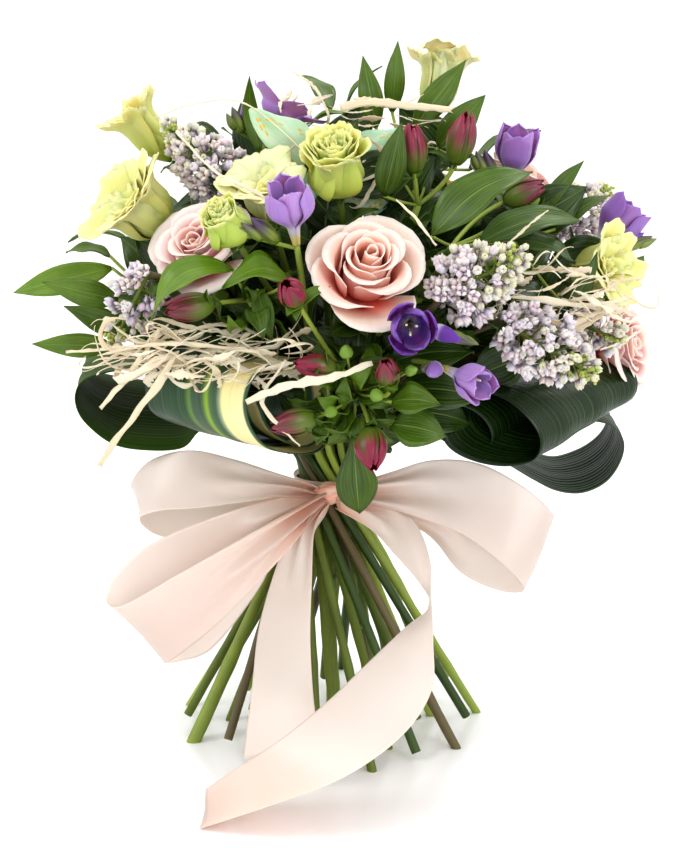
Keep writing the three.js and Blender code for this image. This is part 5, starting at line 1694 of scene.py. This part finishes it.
def strand(route, width, dice, blunt=0.0):
    """A torn strip of straw that twists and thins out at its ends. A blunt one faces forward."""
    across, over, forward = frames(route)
    turn, twist = dice.uniform(0, math.tau), dice.uniform(-2.2, 2.2)
    if blunt:
        across = unit(np.cross(forward, TO_VIEWER))
        over = np.cross(forward, across)
        turn, twist = 0.0, dice.uniform(-0.6, 0.6)
    seed, pace = dice.random(), dice.uniform(16, 28)

    def place(u, v):
        sides, tops = along(across, u), along(over, u)
        angle = turn + twist * u
        flat = sides * np.cos(angle)[:, None] + tops * np.sin(angle)[:, None]
        torn = 1 + 0.36 * wander(pace * u, 0.8 * v, random.Random(seed), 1.0)
        torn = np.maximum(torn + 0.34 * wander(2.6 * pace * u, 3 * v, random.Random(seed + 1), 1.0), 0.25)
        ends = np.maximum(np.sin(math.pi * np.clip(u, 0.02, 0.98)) ** 0.6, blunt)
        return along(route, u) + flat * (v * width / 2 * torn * ends)[:, None]

    return blade(*STRAND_GRID, place, STRAW, dice.uniform(0, 0.6))


def curly_route(at, reach, dice):
    """A strand's way through its tangle: it wanders, and turns back before it leaves."""
    reach = np.array(reach, float)
    place = at + reach * np.array([dice.uniform(-0.75, 0.75) for _ in range(3)])
    heading = unit(np.array([dice.choice((-1, 1)), dice.uniform(-0.5, 0.5), dice.uniform(-0.6, 0.3)]))
    turn, pace = np.zeros(3), dice.uniform(1.0, 2.6)
    places = [place]
    for _ in range(dice.randrange(9, 29)):
        turn = turn * 0.8 + 0.075 * np.array([dice.uniform(-1, 1) for _ in range(3)])
        off = (place - at) / reach
        heading = unit(heading + turn - 0.3 * off * max(0.0, np.linalg.norm(off) - 0.85))
        place = place + heading * pace
        places.append(place)
    return np.array(places)


STRAND_WIDTHS = (0.9, 1.2, 1.6, 2.2, 2.8, 3.6, 4.6)


def make_straw():
    for name, at, reach, strands, seed in STRAWS:
        dice = random.Random(seed)
        blades = []
        for _ in range(strands):
            blades.append(strand(curly_route(at, reach, dice), dice.choice(STRAND_WIDTHS), dice))
        for tangle, width, places in LONG_STRANDS:
            if tangle == name:
                blades.append(strand(spline([seen(*place) for place in places], 30), width, dice, 0.7))
        keep(thicken(blades, STRAW_THICKNESS), f"{name}_strands", "straw", name)


# The butterfly pick

BUTTERFLY = seen(330, 188, -26)
PICK_FOOT = np.array([-10.0, -14, 250])
WING_BASE = BUTTERFLY + np.array([0, 0, 6.0])
# A wing's outline seen from its root: degrees from the line to its tip, and the share of its length there
UPPER_WING = ((22, 0.3), (20, 0.44), (17, 0.62), (9, 0.84), (3, 0.97), (0, 1.0), (-4, 0.91), (-9, 0.77),
              (-17, 0.67), (-24, 0.58), (-32, 0.4))
LOWER_WING = ((36, 0.45), (24, 0.76), (10, 0.94), (-6, 1.0), (-22, 0.9), (-38, 0.7), (-52, 0.4))
# The tip of each wing, its outline, and the side on which its leading edge lies
WINGS = (
    (seen(250, 108, -34), UPPER_WING, 1),
    (seen(266, 200, -44), LOWER_WING, 1),
    (seen(412, 128, -8), UPPER_WING, -1),
    (seen(388, 206, -20), LOWER_WING, -1),
)


def wing(tip, outline, hand):
    """A sheer wing that fans out from its root to its outline."""
    to_tip = tip - WING_BASE
    sideways = np.cross(unit(to_tip), unit(np.array([0, 1.0, -0.25]))) * hand * np.linalg.norm(to_tip)
    turns, lengths = spline([(*point, 0.0) for point in outline], 60)[:, :2].T

    def place(u, v):
        step = (v + 1) / 2 * (len(turns) - 1)
        turn = np.radians(np.interp(step, range(len(turns)), turns))
        reach = (0.06 + 0.94 * u) * np.interp(step, range(len(turns)), lengths)
        bend = 2.2 * np.sin(u * math.pi) + 0.5 * np.sin(v * 9) * u
        fan = to_tip * (reach * np.cos(turn))[:, None] + sideways * (reach * np.sin(turn))[:, None]
        return WING_BASE + fan + np.array([0, -1.0, 0.25]) * bend[:, None]

    return blade(*WING_GRID, place, WING)


def make_butterfly():
    wings = thicken([wing(*one) for one in WINGS], WING_THICKNESS)
    body = stand(bud(2.2, 20, WIRE, 0.5, 6), BUTTERFLY, np.array([0.1, 0.2, 1.0]))
    feelers = []
    for side in (-1, 1):
        places = [WING_BASE + np.array(away) for away in ((0, 0, 8), (side * 4, 0, 18), (side * 9, -2, 24))]
        feelers.append(tube(bezier(places, 8), 0.3, WIRE, 5))
    wire = tube(bezier((PICK_FOOT, (PICK_FOOT + BUTTERFLY) / 2, BUTTERFLY), 8), 0.6, WIRE, 6)
    keep(join([wings, body, wire, *feelers]), "butterfly", "butterfly", "butterfly_pick")


# The tie and the satin ribbon

TWINE_RADIUS = 0.85
TWINE_TURNS = 3
TWINE_REACH = 19.9  # from the bunch's middle line
TWINE_PITCH = 1.5
TWINE_FOOT = TIE_HEIGHT - 2.1
BAND_MIDDLE = TIE_HEIGHT - 1.5
BAND_HALF_HEIGHT = 6.2
KNOT_RADIUS = 6.6
KNOT_HALF_LENGTH = 10.5
PLEATS = 2
DEEPEST_PLEAT = 4.0
# where a tail's greyer painted shade starts: past the end of a strip, so it has none
NO_TAIL_SHADE = 1.2  # past the end of a strip
LOOP_GATHERED = 0.36  # the share of a strip's length that its pleats reach from the knot
# Of each tail: the share that is pleated near the knot, where its greyer painted shade starts, and how deep
# its end's tone is
TAIL_TONES = {"ribbon_tail_left": (0.5, NO_TAIL_SHADE, 0.1), "ribbon_tail_right": (0.2, 0.42, 0.5)}


def make_twine():
    turns = np.linspace(0, math.tau * TWINE_TURNS, 40 * TWINE_TURNS)
    height = TWINE_FOOT + turns / math.tau * TWINE_PITCH
    route = np.stack([TWINE_REACH * np.cos(turns), TWINE_REACH * np.sin(turns), height], axis=1)
    keep(tube(route, TWINE_RADIUS, TWINE, 7), "twine_wraps", "twine", "binding_twine")


def ribbon(stations, both_ends, pleated, dice, turned=NO_TAIL_SHADE, end_tone=0.0):
    """A strip through stations that hold its two edges. Pleats take up its width near the knot.
    Past the share given as turned, it is greyer with painted shade, up to its deeper end."""
    one, other = (spline([seen(*station[side]) for station in stations], 90) for side in (0, 1))
    phase = dice.uniform(0, math.tau)

    def near_knot(u):
        share = 1 - smooth_step(0.02, pleated, u)
        return np.maximum(share, 1 - smooth_step(0.02, pleated, 1 - u)) if both_ends else share

    def place(u, v):
        a, b = along(one, u), along(other, u)
        ahead = along(one, np.minimum(u + 0.02, 1)) - along(one, np.maximum(u - 0.02, 0))
        normal = unit(np.cross(b - a, ahead))
        width = np.linalg.norm(b - a, axis=1)
        steep = 1.3 * np.sqrt(np.maximum((RIBBON_WIDTH / width) ** 2 - 1, 0))
        pleat = np.minimum(steep * width / (math.tau * PLEATS), DEEPEST_PLEAT) * near_knot(u)
        sway = (1 - near_knot(u)) * 0.9 * np.sin(v * 2.2 + u * 7 + phase)
        lift = pleat * np.sin(PLEATS * v * math.pi + phase) + sway
        places = a + (b - a) * ((v + 1) / 2)[:, None] + normal * lift[:, None]
        places[:, 2] = np.maximum(places[:, 2], RIBBON_THICKNESS)
        return places

    def toned(u, v):
        # the tone paints shade: deeper coral in the pleats by the knot, greyer (below zero) past the turned
        # share until 0.66 to 0.84, then deeper towards the end
        back = smooth_step(turned - 0.04, turned + 0.04, u) * (1 - smooth_step(0.66, 0.84, u))
        return near_knot(u) ** 8 * 0.7 - back + end_tone * smooth_step(0.72, 0.95, u)

    piece = blade(*RIBBON_GRID, place, SATIN, toned)
    return piece, length_of((one + other) / 2)


def satin_band():
    """The band round the tie, with the creases of the ribbon that was wound there."""
    def place(u, v):
        angle = math.tau * u
        out = TIE_OUTER + 0.35 * np.sin(9 * v + 2 * np.sin(angle)) - 0.4 * v**2
        height = BAND_MIDDLE + BAND_HALF_HEIGHT * v
        return np.stack([out * np.cos(angle), out * np.sin(angle), height], axis=1)
    return thicken([blade(*BAND_GRID, place, SATIN, 0.35)], RIBBON_THICKNESS)


def satin_knot():
    """The knot that holds the loops, with the folds of the satin pulled through it."""
    def place(u, angle):
        t = 2 * u - 1
        out = KNOT_RADIUS * (1 - 0.3 * t * t) * np.sin(math.pi * np.clip(u, 0, 1)) ** 0.35
        out = out * (1 + 0.07 * np.sin(6 * angle + 3 * t) + 0.04 * np.sin(13 * angle - 5 * t))
        return np.stack([out * np.cos(angle), out * np.sin(angle), KNOT_HALF_LENGTH * t], axis=1)
    # the tone paints deeper coral shade into the knot's folds
    knot = ball(40, 24, place, SATIN, lambda u, angle: 0.55 + 0.35 * np.sin(6 * angle + 6 * u - 3))
    return stand(knot, KNOT, np.array([1.0, 0, 0.1]))


def make_ribbon():
    for i, (name, stations) in enumerate(BOW_LOOPS.items()):
        strip, length = ribbon(stations, True, LOOP_GATHERED, random.Random(SEEDS["loops"] + i))
        piece = keep(thicken([strip], RIBBON_THICKNESS), f"bow_loop_{name}", "ribbon", "ribbon_bow")
        length * MM
    keep(join([satin_knot(), satin_band()]), "satin_knot", "ribbon", "ribbon_bow")
    for i, (name, stations) in enumerate(TAILS.items()):
        pleated, turned, end_tone = TAIL_TONES[name]
        strip, length = ribbon(stations, False, pleated, random.Random(SEEDS["tails"] + i), turned, end_tone)
        piece = keep(thicken([strip], RIBBON_THICKNESS), f"{name}_satin", "ribbon", name)
        length * MM


# The floor, the light and the camera, in metres

FLOOR_SIZE = 12
LIGHTS_AIM = Vector((0, 0, 0.22))
# Name, place, size and power
LIGHTS = (
    ("window_left", (-1.3, -0.5, 1.3), 0.8, 7.5),
    ("soft_top", (0.75, 0.5, 1.5), 0.7, 6.5),
    ("window_right", (1.0, -1.3, 0.8), 0.5, 5),
    ("fill_front", (-0.35, -1.7, 0.75), 0.4, 1.4),
)


def make_stage():
    deselect()
    bpy.ops.mesh.primitive_plane_add(size=FLOOR_SIZE)
    floor = bpy.context.object
    floor.name = "floor"
    white = Finish("white_floor", Specular_IOR_Level=0.35)
    haze = white.speckle(1.5, 1)
    floor.data.materials.append(white.finish(white.blend(haze, colour("#FBFBFB"), colour("#FFFFFF")), 0.22))
    world = bpy.data.worlds.new("white_room")
    world.use_nodes = True
    world.node_tree.nodes["Background"].inputs["Color"].default_value = (1, 1, 1, 1)
    world.node_tree.nodes["Background"].inputs["Strength"].default_value = 1.0
    bpy.context.scene.world = world
    for name, place, size, power in LIGHTS:
        light = bpy.data.lights.new(name, "AREA")
        light.size = size
        light.energy = power
        lamp = bpy.data.objects.new(name, light)
        lamp.location = place
        lamp.rotation_euler = (LIGHTS_AIM - Vector(place)).to_track_quat("-Z", "Y").to_euler()
        bpy.context.collection.objects.link(lamp)
    bpy.context.scene.view_settings.view_transform = "Standard"
    bpy.context.scene.view_settings.look = "Medium High Contrast"


SENSOR = 36.0  # millimetres along the frame's long side


def make_camera():
    camera = bpy.data.cameras.new("camera")
    camera.sensor_width = SENSOR
    camera.lens = SENSOR * VIEW_FOCAL / PHOTO_HEIGHT
    back = np.array([0, -math.cos(VIEW_ELEVATION), math.sin(VIEW_ELEVATION)])
    holder = bpy.data.objects.new("camera", camera)
    holder.location = (np.array(VIEW_TARGET) + back * VIEW_DISTANCE) * MM
    holder.rotation_euler = (math.pi / 2 - VIEW_ELEVATION, 0, 0)
    bpy.context.collection.objects.link(holder)
    bpy.context.scene.camera = holder


make_camera()
make_roses()
make_lisianthus()
make_freesias()
make_lilacs()
make_sprays()
make_aspidistras()
make_straw()
make_butterfly()
make_twine()
make_ribbon()
make_stage()
